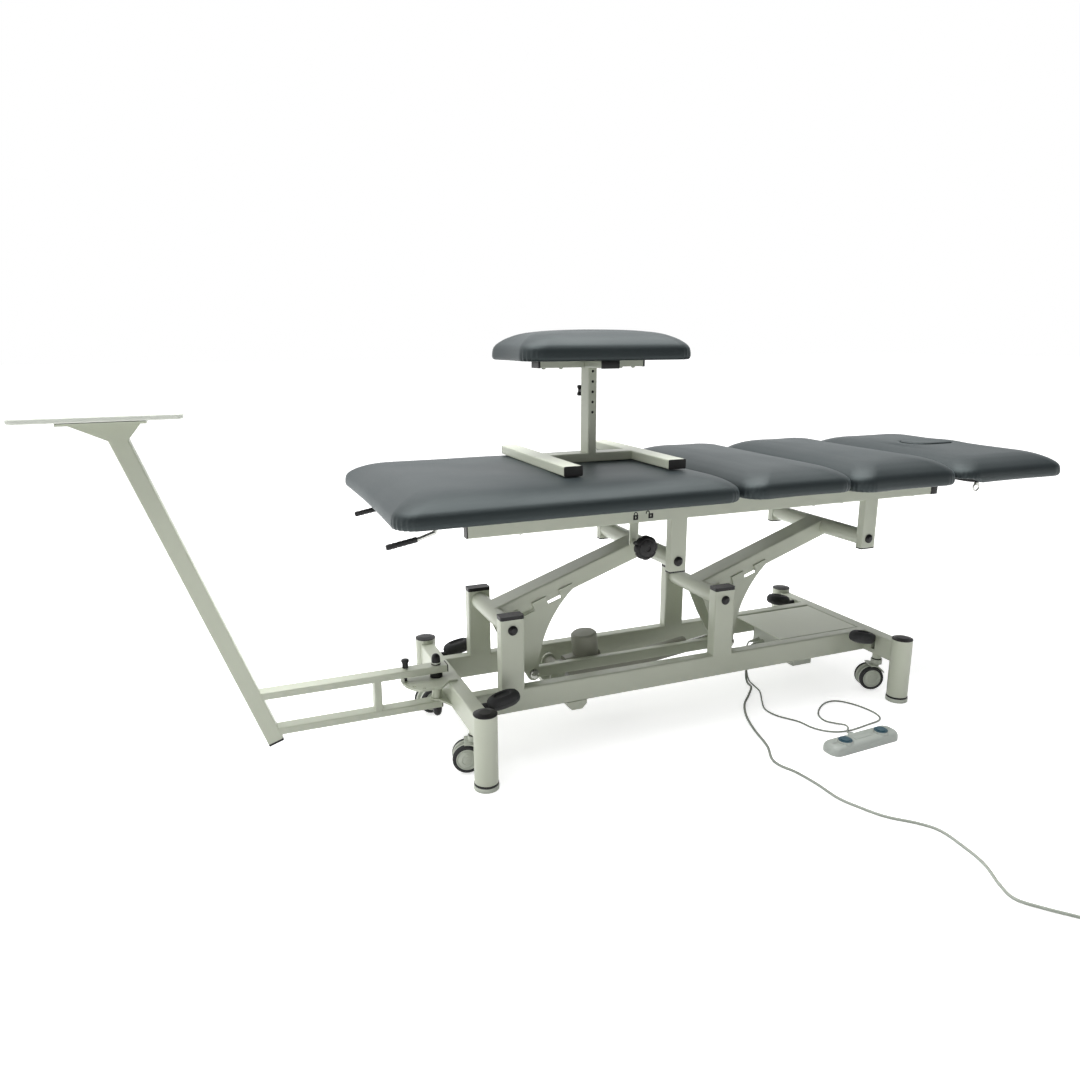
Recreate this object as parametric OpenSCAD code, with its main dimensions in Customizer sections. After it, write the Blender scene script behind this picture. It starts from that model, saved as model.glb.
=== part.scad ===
// Electric traction table: a parallelogram lift on a castored base, a four-section padded top
// with a sliding leg section, a swivelling post for a traction unit, and a loose leg stool.
// Millimetres, +X towards the head end, -Y the side of the controls, +Z up, floor at z = 0.

/* [Base] */
// Distance between post centres along the table
post_pitch_x = 1324; // [1250:1:1400]
// Distance between post centres across the table
post_pitch_y = 570; // [540:1:640]
// Diameter of the four corner posts
post_d = 60.3; // [56:0.1:66]
// Height of the post tops above the floor
post_top_z = 197; // [192:1:220]
// Width of the two cross tubes
cross_w = 40; // [38:1:44]
// Height of all base tubes
base_tube_h = 65; // [60:1:75]
// Height of the base tubes above the floor
base_z = 120; // [114:1:130]
// Distance between the outer faces of the long rails
rail_span_y = 308; // [296:1:320]
// Width of the long rails and uprights across the table
rail_w = 35; // [30:1:38]

/* [Lift] */
// Position of the foot-end uprights along the table
upright_x = -540; // [-556:1:-520]
// Distance between the two lift arms
arm_pitch = 650; // [630:1:670]
// Width of an upright along the table
upright_l = 65; // [60:1:70]
// Height of an upright above the rails
upright_h = 193; // [180:1:210]
// Length of a lift arm between its pivots
arm_length = 472; // [450:1:490]
// Angle of the lift arms at the drawn height, in degrees
arm_angle = 19; // [17:0.5:22]
// Width of an arm tube
arm_w = 72; // [68:1:76]
// Depth of an arm tube
arm_h = 49; // [44:1:52]
// Diameter of the torque tubes at the arm ends
torque_d = 48; // [46:1:52]
// Diameter of the pivot axles
axle_d = 20; // [16:1:24]

/* [Top] */
// Width of the upholstered sections
cushion_w = 694; // [660:1:720]
// Distance between the outer faces of the top rails
top_span_y = 440; // [430:1:450]
// Width of a top rail
top_rail_w = 25; // [22:1:27]
// Height of a top rail
top_rail_h = 50; // [46:1:56]
// Thickness of the plywood boards
board_t = 12; // [9:1:15]
// Height of the cushions above the boards at their crown
foam_h = 68; // [60:1:76]
// Length of the sliding leg section
leg_l = 897; // [860:1:910]
// Length of the seat section
seat_l = 350; // [330:1:352]
// Length of the back section
back_l = 371; // [360:1:374]
// Length of the head section
head_l = 425; // [400:1:450]
// Length of the breathing hole's plug
face_l = 175; // [150:1:190]
// Width of the breathing hole's plug
face_w = 105; // [90:1:115]

/* [Castors] */
// Wheel diameter
wheel_d = 75; // [70:1:78]
// Distance of the castors from the centre line
castor_y = 192; // [185:1:192]
// Travel of the pedals and castors
castor_travel = 12; // [8:1:13]

/* [Traction post] */
// Distance of the swivel axis outside the cross tube's centre line
swivel_out = 44; // [42:1:47]
// Distance of the post's foot from the swivel axis
post_reach = 427; // [400:1:450]
// Lean of the post from the vertical, in degrees
post_lean = 19.3; // [17:0.1:21]
// Height of the post's upper end
post_end_z = 868; // [820:1:900]
// Width of the post's square tube
post_tube = 39; // [36:1:42]
// Length of the traction unit's board
platform_l = 333; // [300:1:350]
// Width of the traction unit's board
platform_w = 190; // [170:1:240]

/* [Leg stool] */
// Length of the stool's pad
pad_l = 480; // [440:1:520]
// Width of the stool's pad
pad_w = 300; // [280:1:340]
// Distance between the stool's two feet
stool_pitch = 296; // [280:1:310]
// Length of a stool foot
stool_foot_l = 450; // [420:1:470]
// Height of the stool's fixed mast above its feet
mast_h = 230; // [225:1:240]

/* [Foot switch] */
// Length of the foot switch
switch_l = 240; // [225:1:250]
// Width of the foot switch
switch_w = 62; // [58:1:70]
// Diameter of the foot buttons
button_d = 36; // [30:1:38]

/* [Hidden] */
$fn = 48;

// Finishes as the eye sees them
powder = "#c3c6b8";
black = "#26272a";
vinyl = "#474c54";
motor_grey = "#8d8d86";
steel = "#b9bab6";
white = "#f0f0ec";
light_grey = "#c9cbc4";
blue = "#2f6aa3";
cord_grey = "#8f948c";

// Clearances: free faces, running shafts, and the overrun of cuts
gap = 0.3;
run = 0.05;
over = 1;
cap_t = 3;
sheet_t = 3;

// Base places that follow from the driving sizes
half_x = post_pitch_x / 2;
half_y = post_pitch_y / 2;
base_top = base_z + base_tube_h;
rail_out = rail_span_y / 2;
rail_in = rail_out - rail_w;
rail_mid = (rail_out + rail_in) / 2;
corner_r = 4;
upright_top = base_top + upright_h;
pivot_drop = 28;
pivot_z = upright_top - pivot_drop;
lower_pivots = [upright_x, upright_x + arm_pitch];
arm_rise = arm_length * sin(arm_angle);
arm_run = arm_length * cos(arm_angle);
upper_z = pivot_z + arm_rise;
upper_pivots = [for (x = lower_pivots) x + arm_run];

// Levelling feet, their rings and the post caps
foot_d = 64;
foot_h = 12;
ring_d = 58;
ring_h = 6;
post_z = foot_h + ring_h;
post_cap_h = 6;
upright_cap_h = 10;
pivot_cap_d = 26;
pivot_cap_t = 7;

// Motor cross channel and its two lugs under the rails
channel_x = -355.5;
channel_w = 59;
channel_h = 24;
channel_chamfer = 14;
lug_x = -351;
lug_t = 6;
lug_gap = 60;
lug_r = 22;
motor_y = 25;
rear_pin_z = 160;
rear_pin_d = 12;

// Castor column in the cross tube
plunger_d = 20;
guide_d = 27;
guide_h = 20;
slot_w = 14;
slot_top_gap = 4;
slot_h = 46;
lever_w = 12;
lever_h = 12;
pad_reach = 77;
pad_offset = 10;
pedal_l = 92;
pedal_w = 45;
pedal_h = 30;
pedal_recess = 5;
pedal_rim = 9;
stem_collar_d = 34;
fork_web = 11;
fork_hub_d = 26;
hood_t = 3;
hood_clear = 2;
trail = 20;
floor_gap = 5;
wheel_w = 17;
wheel_pitch = 33;
wheel_axle_d = 8;
tread_t = 9;
castor_yaw = [165, 160, -165, -170];

// Fin plates under the arms, in the arm's own axes: u along the arm, v square to it
fin_t = 5;
fin_side_share = 0.5;
fin_tip_u = 230;
fin_tip_v = -20;
fin_bolt_u = 39.5;
fin_bolt_v = -204;
fin_bolt_d = 16;
fin_foot_r = 20;
fin_curve_u = 355.5;
fin_curve_v = -317;
fin_curve_r = 323;
fin_root_u = 4;
fin_tab_v = -8;
fin_gap_v = -31;
fin_gaps_u = [60, 145];
fin_gap_l = 42;
fin_face_y = arm_w / 2;

// The arm's axes turned to the drawn pose, from its lower pivot
function arm_point(i, u, v) = [
    lower_pivots[i] + u * cos(arm_angle) - v * sin(arm_angle),
    pivot_z + u * sin(arm_angle) + v * cos(arm_angle)
];
bolt_l = arm_point(0, fin_bolt_u, fin_bolt_v);
bolt_r = arm_point(1, fin_bolt_u, fin_bolt_v);

// Tie bar between the two arms, and the bolts that carry it
tie_w = 21;
tie_h = 31;
tie_y = -(fin_face_y - gap - tie_w / 2);
bolt_head_d = 28;
bolt_head_t = 6;

// Actuator: its rear pin, its axis through the fin bolt, and its housing
act_dx = bolt_r[0] - lug_x;
act_dz = bolt_r[1] - rear_pin_z;
act_offset = 54;
act_reach = sqrt(act_dx * act_dx + act_dz * act_dz - act_offset * act_offset);
act_tilt = atan2(act_dz, act_dx) + asin(act_offset / sqrt(act_dx * act_dx + act_dz * act_dz));
tube_w = 32;
tube_h = 50;
tube_r = 10;
tube_start = 40;
tube_end = 440;
housing_start = 36;
housing_l = 108;
housing_w = 46;
housing_h = 60;
eye_r = 15;
motor_d = 76;
motor_at = 106;
motor_top = 128;
motor_bevel = 5;
rod_d = 20;
rod_start = 300;
rod_stroke_in = 90;
rod_eye_w = 21;
rod_eye_r = 15;
rod_pin_hole = 16.4;

// Control box under the cover plate
plate_x0 = 344;
plate_x1 = 636;
plate_back_y = 108;
plate_t = 3;
box_x0 = 378;
box_x1 = 600;
box_y0 = -85;
box_y1 = 58;
box_bottom = 100;
box_chamfer = 6;
tray_x = 440;
tray_y = -75;
tray_l = 70;
tray_h = 16;
gland_z = 125;
mains_y = 10;
foot_y = 34;
gland_l = 28;
gland_neck = 14;

// Top frame
frame_rise = 166;
top_z = upper_z + frame_rise;
top_rail_z = top_z - top_rail_h;
top_out = top_span_y / 2;
top_in = top_out - top_rail_w;
top_x0 = -674;
top_x1 = 803;
bracket_l = 50;
bracket_drop = 27;
cross_tube = 25;
top_cross_x = [-640, 46, 388, 790];

// Cushion plan: left ends of the four sections
leg_x0 = -872;
seat_x0 = 33;
back_x0 = 391;
head_x0 = 770;
board_inset = 12;
board_r = 40;
cushion_r = 52;
foam_z = top_z + board_t;
head_drop = 5;

// Sliding section
carriage_w = 25;
carriage_in = 12;
handle_out = 7;
handle_y = top_in + handle_out;
handle_d = 10;
handle_flange_d = 32;
handle_knee = 0.4;
grip_d = 14;
grip_l = 74;

// Lock lever and its star knob
lock_x = -214;
lock_rise = 10;
lock_pivot_z = top_rail_z + lock_rise;
lever_flat = 25;
lever_t = 5;
lock_drop = 68;
lock_pin_d = 8;
knob_shaft_d = 11;
knob_y = 48;
knob_t = 26;
knob_d = 70;
knob_lobe_r = 10;
knob_lobes = 7;
knob_dish = 4;

// Head section's hinge
hinge_x = 812;
hinge_drop = 12;
hinge_r = 8.5;
hinge_pin_d = 10;
hinge_y = 150;
hinge_lug_t = 8;
leaf_l = 84;
leaf_t = 6;
leaf_w = 30;
head_board_x0 = 822;
face_x = 980;
d_ring_in = 13;
d_ring_x = head_board_x0 + d_ring_in;
d_ring_edge = 17;
d_ring_y = cushion_w / 2 - d_ring_edge;
d_ring_wire = 4;
d_ring_r = 11;
d_clip_l = 10;
d_clip_w = 9;
d_clip_t = 8;

// Swivel bracket: quadrant above and web below the boss
swivel_x = -(half_x + swivel_out);
quad_t = 6;
quad_r = 96;
quad_half = 74;
quad_root_half = 41;
quad_tab = 50;
index_r = 84;
index_d = 9;
index_step = 21.5;
boss_d = 27;
bolt_d = 16;
web_t = 5.7;
web_half = 70;
web_tip = 18;

// Traction frame: two ladder tubes, a strut, the leaning post and its head
ladder_w = 38;
post_depth = 40;
ladder_h = 20;
bush_h = 15;
lower_tube_drop = 14;
upper_tube_z = base_top + quad_t + bush_h;
lower_tube_z = base_z - lower_tube_drop;
web_z = lower_tube_z + ladder_h + gap;
upper_end = 26;
lower_end = 9;
strut_x = -868;
strut_w = 20;
post_foot_z = 91.5;
post_foot_x = swivel_x - post_reach;
lean_per_z = tan(post_lean);
post_end_x = post_foot_x - (post_end_z - post_foot_z) * lean_per_z;
head_plate_l = 175;
head_plate_w = 120;
head_plate_t = 5;
gusset_rise = 38;
gusset_left = 100;
gusset_right = 51;
gusset_t = 4;
gusset_low = 21;
gasket_t = 4;
platform_t = 12;
platform_shift = 29;
platform_x = post_end_x - platform_shift;
plate_z = post_end_z + gusset_rise;
platform_z = plate_z + head_plate_t + gasket_t;
plunger_x = swivel_x - index_r;
index_pin_d = 8;
index_sleeve_d = 15;
index_sleeve_h = 14;
index_head_z = 246;
index_head_d = 21;
index_head_t = 8;
nut_d = 25;
nut_drop = 30;
dome_h = 27;
washer_d = 34;

// Leg stool: feet on the leg cushion, mast and pad
stool_x = -247;
stool_y = 20;
stool_tube = 25;
stool_foot_w = 50;
stool_z = foam_z + foam_h + gap;
mast_y_size = 50;
mast_x_size = 25;
mast_wall = 2.7;
mast_holes = 5;
mast_hole_d = 8;
mast_hole_step = 27.3;
mast_hole_top = 10;
pad_tube_h = 20;
pad_cross_l = 306;
pad_cross_w = 50;
pad_front = 125;
pad_back = 110;
pad_board_t = 10;
pad_h = 78;
spool_d = 29;
spool_neck = 12;
spool_l = 30;
spool_pin = 8;
spool_drop = 65;
inner_l = 215;

// Foot switch
switch_x = 353.5;
switch_y = -467;
switch_turn = 3.2;
switch_h = 26;
switch_r = 14;
switch_bevel = 8;
collar_rise = 5;
collar_w = 5;
button_pitch = 130;
button_y = -6;
button_travel = 3;
button_h = 9;
switch_boot_l = 22;

// Cords: the mains lead, its coil and plug, and the foot switch's cable
lead_d = 7;
cable_d = 5;
lead_sides = 8;
coil_turns = 6;
coil_pitch = 7.6;
coil_mean_r = 38.5;
coil_rings = 24;
coil_sides = 6;
coil_start = [275, -1224];
coil_heading = [0.64, -0.77];
coil_tail = 28;
plug_boot_l = 22;
plug_w = 34;
plug_t = 23;
plug_l = 36;
pin_l = 17;
pin_w = 6.3;
pin_t = 1.8;
pin_pitch = 14;

lead_route = [
    [350, 10, 125], [338, 10, 122], [328, 10, 108], [322, 9, 70], [318, 6, 24], [312, -12, 5],
    [303, -44, 4], [259, -91, 4], [208, -141, 4], [166, -208, 4], [134, -289, 4], [108, -381, 4],
    [76, -443, 4], [72, -480, 4], [88, -525, 4], [98, -590, 4], [101, -660, 4], [118, -710, 4],
    [147, -767, 4], [194, -816, 4], [218, -858, 4], [216, -922, 4], [205, -983, 4],
    [176, -1043, 4], [165, -1086, 4], [191, -1126, 4], [232, -1172, 4], [256, -1201, 4],
    [275, -1224, 4]
];
cable_route = [
    [350, 34, 125], [342, 34, 122], [335, 33, 106], [334, 30, 66], [332, 20, 22], [328, 0, 4],
    [322, -27, 3], [309, -80, 3], [273, -139, 3], [246, -190, 3], [250, -240, 3], [283, -295, 3],
    [296, -346, 3], [327, -382, 3], [376, -396, 3], [451, -388, 3], [510, -375, 3], [528, -332, 3],
    [512, -266, 3], [478, -226, 3], [428, -231, 3], [372, -275, 3], [357, -318, 3],
    [372, -346, 4], [384, -372, 8], [377, -392, 10], [364, -404, 12], [354, -413, 13],
    [351.2, -425, 13]
];

// Box that the object fills, for an origin at the middle of its base
x_lowest = platform_x - platform_l / 2;
x_highest = head_x0 + head_l;
y_highest = cushion_w / 2;
y_lowest = switch_y - (switch_l * sin(switch_turn) + switch_w * cos(switch_turn)) / 2
    + switch_r * (sin(switch_turn) + cos(switch_turn) - 1);
module at_origin() {
    translate([-(x_lowest + x_highest) / 2, -(y_lowest + y_highest) / 2, 0]) children();
}

// Outline of a square tube with small bends, and bars of it along each axis
function bend(w, h, r) = [
    for (q = [0 : 3], s = [0 : 2])
        let (a = 90 * q + 45 * s, sx = (q == 0 || q == 3) ? 1 : -1, sy = q < 2 ? 1 : -1)
            [sx * (w / 2 - r) + r * cos(a), sy * (h / 2 - r) + r * sin(a)]
];
module bar_z(x, y, z0, z1, w, h, r = corner_r) {
    translate([x, y, z0]) linear_extrude(z1 - z0) polygon(bend(w, h, r));
}
module bar_x(x0, x1, y, z, w, h, r = corner_r) {
    translate([x0, y, z]) rotate([90, 0, 90]) linear_extrude(x1 - x0) polygon(bend(w, h, r));
}
module bar_y(y0, y1, x, z, w, h, r = corner_r) {
    translate([x, y1, z]) rotate([90, 0, 0]) linear_extrude(y1 - y0) polygon(bend(w, h, r));
}
module rod_y(y0, y1, x, z, d) {
    translate([x, y1, z]) rotate([90, 0, 0]) cylinder(h = y1 - y0, d = d);
}
module rod_x(x0, x1, y, z, d) {
    translate([x0, y, z]) rotate([0, 90, 0]) cylinder(h = x1 - x0, d = d);
}
module rod_z(z0, z1, x, y, d) {
    translate([x, y, z0]) cylinder(h = z1 - z0, d = d);
}
module plate_y(y0, y1) {
    translate([0, y1, 0]) rotate([90, 0, 0]) linear_extrude(y1 - y0) children();
}

// Base: posts, cross tubes, long rails, uprights and the motor's channel
module base_tubes() {
    for (sx = [-1, 1], sy = [-1, 1]) rod_z(post_z, post_top_z, sx * half_x, sy * half_y, post_d);
    for (sx = [-1, 1]) bar_y(-half_y, half_y, sx * half_x, (base_z + base_top) / 2, cross_w, base_tube_h);
    for (sy = [-1, 1]) {
        bar_x(-half_x, half_x, sy * rail_mid, (base_z + base_top) / 2, rail_w, base_tube_h);
        for (x = lower_pivots) bar_z(x, sy * rail_mid, base_z + corner_r, upright_top, upright_l, rail_w);
    }
    for (sx = [-1, 1], sy = [-1, 1])
        rod_z(base_z - guide_h, base_top - corner_r, sx * half_x, sy * castor_y, guide_d);
}
module motor_mount() {
    plate_y(-rail_out, rail_out) polygon([
        [channel_x - channel_w / 2 + channel_chamfer, base_z - channel_h],
        [channel_x + channel_w / 2 - channel_chamfer, base_z - channel_h],
        [channel_x + channel_w / 2, base_z - channel_h + channel_chamfer],
        [channel_x + channel_w / 2, base_z],
        [channel_x - channel_w / 2, base_z],
        [channel_x - channel_w / 2, base_z - channel_h + channel_chamfer]
    ]);
    for (sy = [-1, 1])
        translate([0, motor_y + sy * (lug_gap + lug_t) / 2, 0]) plate_y(-lug_t / 2, lug_t / 2) {
            translate([lug_x, rear_pin_z]) circle(r = lug_r);
            translate([lug_x - lug_r, base_z - corner_r])
                square([2 * lug_r, rear_pin_z - base_z + corner_r]);
        }
}
module castor_bore(sx, sy) {
    rod_z(base_z - guide_h - over, base_top - slot_top_gap, sx * half_x, sy * castor_y, plunger_d + 2 * run);
    reach = cross_w / 2 + over;
    translate([sx > 0 ? sx * half_x - reach : sx * half_x, sy * castor_y - slot_w / 2,
               base_top - slot_top_gap - slot_h])
        cube([reach, slot_w, slot_h]);
}
module base_frame() {
    color(powder) at_origin() difference() {
        union() {
            base_tubes();
            motor_mount();
        }
        for (sx = [-1, 1], sy = [-1, 1]) castor_bore(sx, sy);
        for (x = lower_pivots, sy = [-1, 1])
            rod_y(sy * rail_mid - rail_w, sy * rail_mid + rail_w, x, pivot_z, axle_d + 2 * run);
        rod_y(motor_y - lug_gap, motor_y + lug_gap, lug_x, rear_pin_z, rear_pin_d + 2 * run);
    }
}

// Black plastic: domed post caps, upright caps and the pivots' covers
module dome(d, h) {
    edge_share = 0.35;
    rotate_extrude() polygon([[0, 0], [d / 2, 0], [d / 2, h * edge_share], [d / 4, h], [0, h]]);
}
module pivot_cap(x, y, z, side) {
    translate([x, y, z]) rotate([side * 90, 0, 0]) dome(pivot_cap_d, pivot_cap_t);
}
module base_caps() {
    color(black) at_origin() {
        for (sx = [-1, 1], sy = [-1, 1])
            translate([sx * half_x, sy * half_y, post_top_z]) dome(post_d, post_cap_h);
        for (x = lower_pivots, sy = [-1, 1]) {
            bar_z(x, sy * rail_mid, upright_top, upright_top + upright_cap_h, upright_l, rail_w);
            pivot_cap(x, sy * rail_out, pivot_z, -sy);
        }
    }
}
module levelling_feet() {
    knurl = 24;
    color(motor_grey) at_origin()
        for (sx = [-1, 1], sy = [-1, 1]) translate([sx * half_x, sy * half_y, 0]) {
            difference() {
                cylinder(h = foot_h, d = foot_d);
                for (i = [0 : knurl - 1])
                    rotate(360 * i / knurl) translate([foot_d / 2 + cap_t / 2, 0, -over])
                        cylinder(h = foot_h + 2 * over, d = 2 * cap_t, $fn = 16);
            }
            translate([0, 0, foot_h]) cylinder(h = ring_h, d = ring_d);
        }
}

// Control box hung under its cover plate, with a tapered boot for each cord
module boot(y, d) {
    neck_share = 0.7;
    translate([box_x0, y, gland_z]) rotate([0, -90, 0]) {
        cylinder(h = gland_l, d1 = gland_neck, d2 = d + sheet_t);
        cylinder(h = sheet_t, d = gland_neck / neck_share);
    }
}
module control_box() {
    plate_bottom = base_top - plate_t;
    color(light_grey) at_origin() {
        plate_y(box_y0, box_y1) polygon([
            [box_x0, box_bottom + box_chamfer], [box_x0 + box_chamfer, box_bottom],
            [box_x1 - box_chamfer, box_bottom], [box_x1, box_bottom + box_chamfer],
            [box_x1, plate_bottom], [box_x0, plate_bottom]
        ]);
        translate([tray_x - tray_l / 2, tray_y - tray_l / 2, box_bottom - tray_h])
            cube([tray_l, tray_l, tray_h]);
        boot(mains_y, lead_d);
        boot(foot_y, cable_d);
    }
}
module cover_plate() {
    lip = 12;
    color(powder) at_origin() {
        translate([plate_x0, -rail_in, base_top - plate_t])
            cube([plate_x1 - plate_x0, rail_in + plate_back_y, plate_t]);
        translate([plate_x0, -rail_in, base_top - plate_t - lip])
            cube([plate_x1 - plate_x0, plate_t, lip]);
    }
}

// Castors, drawn about their swivel axis; the pedal's lever leaves through the cross tube's slot
castor_sx = [-1, 1, -1, 1];
castor_sy = [-1, -1, 1, 1];
module at_castor(i) {
    at_origin() translate([castor_sx[i] * half_x, castor_sy[i] * castor_y, 0]) children();
}
lever_z = base_top - slot_top_gap - lever_h / 2 - corner_r / 2;
module castor_plunger(i) {
    stem_bottom = base_z - guide_h - castor_travel;
    color(black) at_castor(i) {
        translate([0, 0, stem_bottom]) cylinder(h = base_top - corner_r - stem_bottom - slot_top_gap, d = plunger_d);
        mirror([castor_sx[i] > 0 ? 1 : 0, 0, 0]) {
            bar_x(0, pad_reach, 0, lever_z, lever_w, lever_h, sheet_t / 2);
            translate([pad_reach, castor_sy[i] * pad_offset, lever_z - pedal_h / 6]) difference() {
                pedal_block();
                translate([0, 0, pedal_h - pedal_recess]) pedal_cut();
            }
        }
    }
}
module stadium(l, w) {
    square([l - w, w], center = true);
    for (s = [-1, 1]) translate([s * (l - w) / 2, 0]) circle(d = w);
}
module pedal_block() {
    linear_extrude(pedal_h) stadium(pedal_l, pedal_w);
}
module pedal_cut() {
    linear_extrude(pedal_recess + over) stadium(pedal_l - 2 * pedal_rim, pedal_w - 2 * pedal_rim);
}
axle_z = floor_gap + wheel_d / 2;
module at_fork(i) {
    at_castor(i) rotate(castor_yaw[i]) children();
}
module castor_fork(i) {
    stem_bottom = base_z - guide_h - castor_travel;
    collar_top = base_z - guide_h - gap;
    hood_r = wheel_d / 2 + hood_clear;
    color(motor_grey) at_fork(i) difference() {
        union() {
            difference() {
                translate([0, 0, stem_bottom - sheet_t]) cylinder(h = collar_top - stem_bottom + sheet_t, d = stem_collar_d);
                translate([0, 0, stem_bottom]) cylinder(h = castor_travel + over, d = plunger_d + 2 * run);
            }
            translate([-fork_hub_d / 4, -fork_web / 2, axle_z]) cube([trail + fork_hub_d / 4, fork_web, stem_bottom - axle_z]);
            rod_y(-fork_web / 2, fork_web / 2, trail, axle_z, fork_hub_d);
            difference() {
                rod_y(-wheel_pitch / 2 - wheel_w / 2, wheel_pitch / 2 + wheel_w / 2, trail, axle_z, 2 * (hood_r + hood_t));
                rod_y(-wheel_pitch, wheel_pitch, trail, axle_z, 2 * hood_r);
                translate([trail - wheel_d, -wheel_pitch, axle_z - wheel_d]) cube([2 * wheel_d, 2 * wheel_pitch, wheel_d + wheel_d / 4]);
                translate([trail + fork_hub_d / 4, -wheel_pitch, axle_z - wheel_d]) cube([wheel_d, 2 * wheel_pitch, 2 * wheel_d]);
            }
        }
        rod_y(-wheel_pitch, wheel_pitch, trail, axle_z, wheel_axle_d + 2 * run);
    }
}
module wheel_profile() {
    r = wheel_d / 2;
    inner = wheel_pitch / 2 - wheel_w / 2;
    outer = wheel_pitch / 2 + wheel_w / 2;
    edge = tread_t / 3;
    disc_r = r - tread_t;
    polygon([
        [0, inner], [r - edge, inner], [r, inner + edge], [r, outer - edge], [r - edge, outer],
        [disc_r, outer], [disc_r - edge / 2, outer - edge / 2], [disc_r - edge, outer - edge / 2],
        [disc_r - edge * 2, outer], [disc_r / 2, outer + edge / 2], [disc_r / 2 - edge / 2, outer],
        [disc_r / 4, outer + edge / 2], [0, outer + edge / 2]
    ]);
}
module castor_wheels(i) {
    color(light_grey) at_fork(i) translate([trail, 0, axle_z]) rotate([90, 0, 0]) {
        for (m = [0, 1]) mirror([0, 0, m]) rotate_extrude() wheel_profile();
        cylinder(h = wheel_pitch, d = wheel_axle_d, center = true);
    }
}

// Lift arms: torque tubes, box tube and the two castellated fins
module fin() {
    difference() {
        union() {
            polygon([
                [fin_root_u, fin_tab_v], [fin_tip_u, fin_tab_v + corner_r / 2], [fin_tip_u + corner_r, fin_tip_v],
                [fin_curve_u - fin_curve_r * fin_side_share, fin_bolt_v + fin_foot_r],
                [fin_bolt_u + fin_foot_r, fin_bolt_v], [fin_bolt_u - fin_foot_r, fin_bolt_v],
                [fin_root_u - corner_r, fin_bolt_v / 2], [fin_root_u - 3 * corner_r, fin_tip_v]
            ]);
            translate([fin_bolt_u, fin_bolt_v]) circle(r = fin_foot_r);
        }
        translate([fin_curve_u, fin_curve_v]) circle(r = fin_curve_r, $fn = 180);
        translate([fin_bolt_u, fin_bolt_v]) circle(d = fin_bolt_d + 2 * run);
        for (u = fin_gaps_u) translate([u, fin_gap_v]) square([fin_gap_l, arm_h]);
    }
}
module in_arm(i) {
    translate([lower_pivots[i], 0, pivot_z]) rotate([0, -arm_angle, 0]) children();
}
module arm(i) {
    color(powder) at_origin() in_arm(i) {
        bar_x(0, arm_length, 0, 0, arm_w, arm_h);
        rod_y(-rail_in + gap, rail_in - gap, 0, 0, torque_d);
        rod_y(-top_in + gap, top_in - gap, arm_length, 0, torque_d);
        rod_y(-rail_out + gap, rail_out - gap, 0, 0, axle_d);
        rod_y(-top_out + gap, top_out - gap, arm_length, 0, axle_d);
        for (sy = [-1, 1]) plate_y(sy > 0 ? fin_face_y : -fin_face_y - fin_t,
                                   sy > 0 ? fin_face_y + fin_t : -fin_face_y) fin();
    }
}

// Tie bar that keeps the arms in step, and the bolts through the fins
module tie_bar() {
    color(powder) at_origin() difference() {
        union() {
            bar_x(bolt_l[0], bolt_r[0], tie_y, bolt_l[1], tie_w, tie_h, sheet_t);
            for (p = [bolt_l, bolt_r]) rod_y(tie_y - tie_w / 2, tie_y + tie_w / 2, p[0], p[1], tie_h);
        }
        for (p = [bolt_l, bolt_r]) rod_y(-fin_face_y, 0, p[0], p[1], fin_bolt_d + 2 * run);
    }
}
module bolt_head(x, z, y, side) {
    translate([x, y, z]) rotate([side * 90, 0, 0]) {
        cylinder(h = bolt_head_t / 2, d = bolt_head_d);
        cylinder(h = bolt_head_t, d = bolt_head_d * 3 / 4, $fn = 6);
    }
}
module fin_bolts() {
    out = fin_face_y + fin_t + gap;
    color(steel) at_origin() {
        rod_y(-out, out, bolt_l[0], bolt_l[1], fin_bolt_d);
        rod_y(-out, tie_y + tie_w / 2 + cap_t, bolt_r[0], bolt_r[1], fin_bolt_d);
        rod_y(motor_y + rod_eye_w / 2 + gap, out, bolt_r[0], bolt_r[1], fin_bolt_d);
        for (p = [bolt_l, bolt_r], sy = [-1, 1]) bolt_head(p[0], p[1], sy * out, -sy);
    }
}

// Linear actuator: the body about its rear pin, the rod along its axis
module in_actuator() {
    at_origin() translate([lug_x, motor_y, rear_pin_z]) rotate([0, -act_tilt, 0]) children();
}
module actuator_body() {
    color(motor_grey) in_actuator() {
        rod_y(-lug_gap / 2 + gap, lug_gap / 2 - gap, 0, 0, 2 * eye_r);
        rod_y(-lug_gap / 2 - lug_t, lug_gap / 2 + lug_t, 0, 0, rear_pin_d);
        bar_x(0, housing_start + tube_r, 0, -eye_r / 2, housing_w, eye_r, sheet_t);
        difference() {
            union() {
                bar_x(housing_start, housing_start + housing_l, 0, -act_offset / 2 - corner_r, housing_w, housing_h + act_offset / 2, tube_r);
                bar_x(housing_start + tube_start, tube_end, 0, -act_offset, tube_w, tube_h, tube_r);
                translate([motor_at, 0, 0]) rotate_extrude() polygon([
                    [0, -corner_r], [motor_d / 2, -corner_r], [motor_d / 2, motor_top - act_offset - motor_bevel],
                    [motor_d / 2 - motor_bevel, motor_top - act_offset], [0, motor_top - act_offset + motor_bevel / 2]
                ]);
                rod_x(tube_end, tube_end + cap_t, 0, -act_offset, tube_w);
            }
            rod_x(rod_start - rod_stroke_in, tube_end + tube_h, 0, -act_offset, rod_d + 2 * run);
        }
    }
}
module actuator_rod() {
    color(steel) in_actuator() difference() {
        union() {
            rod_x(rod_start, act_reach, 0, -act_offset, rod_d);
            rod_y(-rod_eye_w / 2, rod_eye_w / 2, act_reach, -act_offset, 2 * rod_eye_r);
        }
        rod_y(-rod_eye_w, rod_eye_w, act_reach, -act_offset, rod_pin_hole);
    }
}

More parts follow.
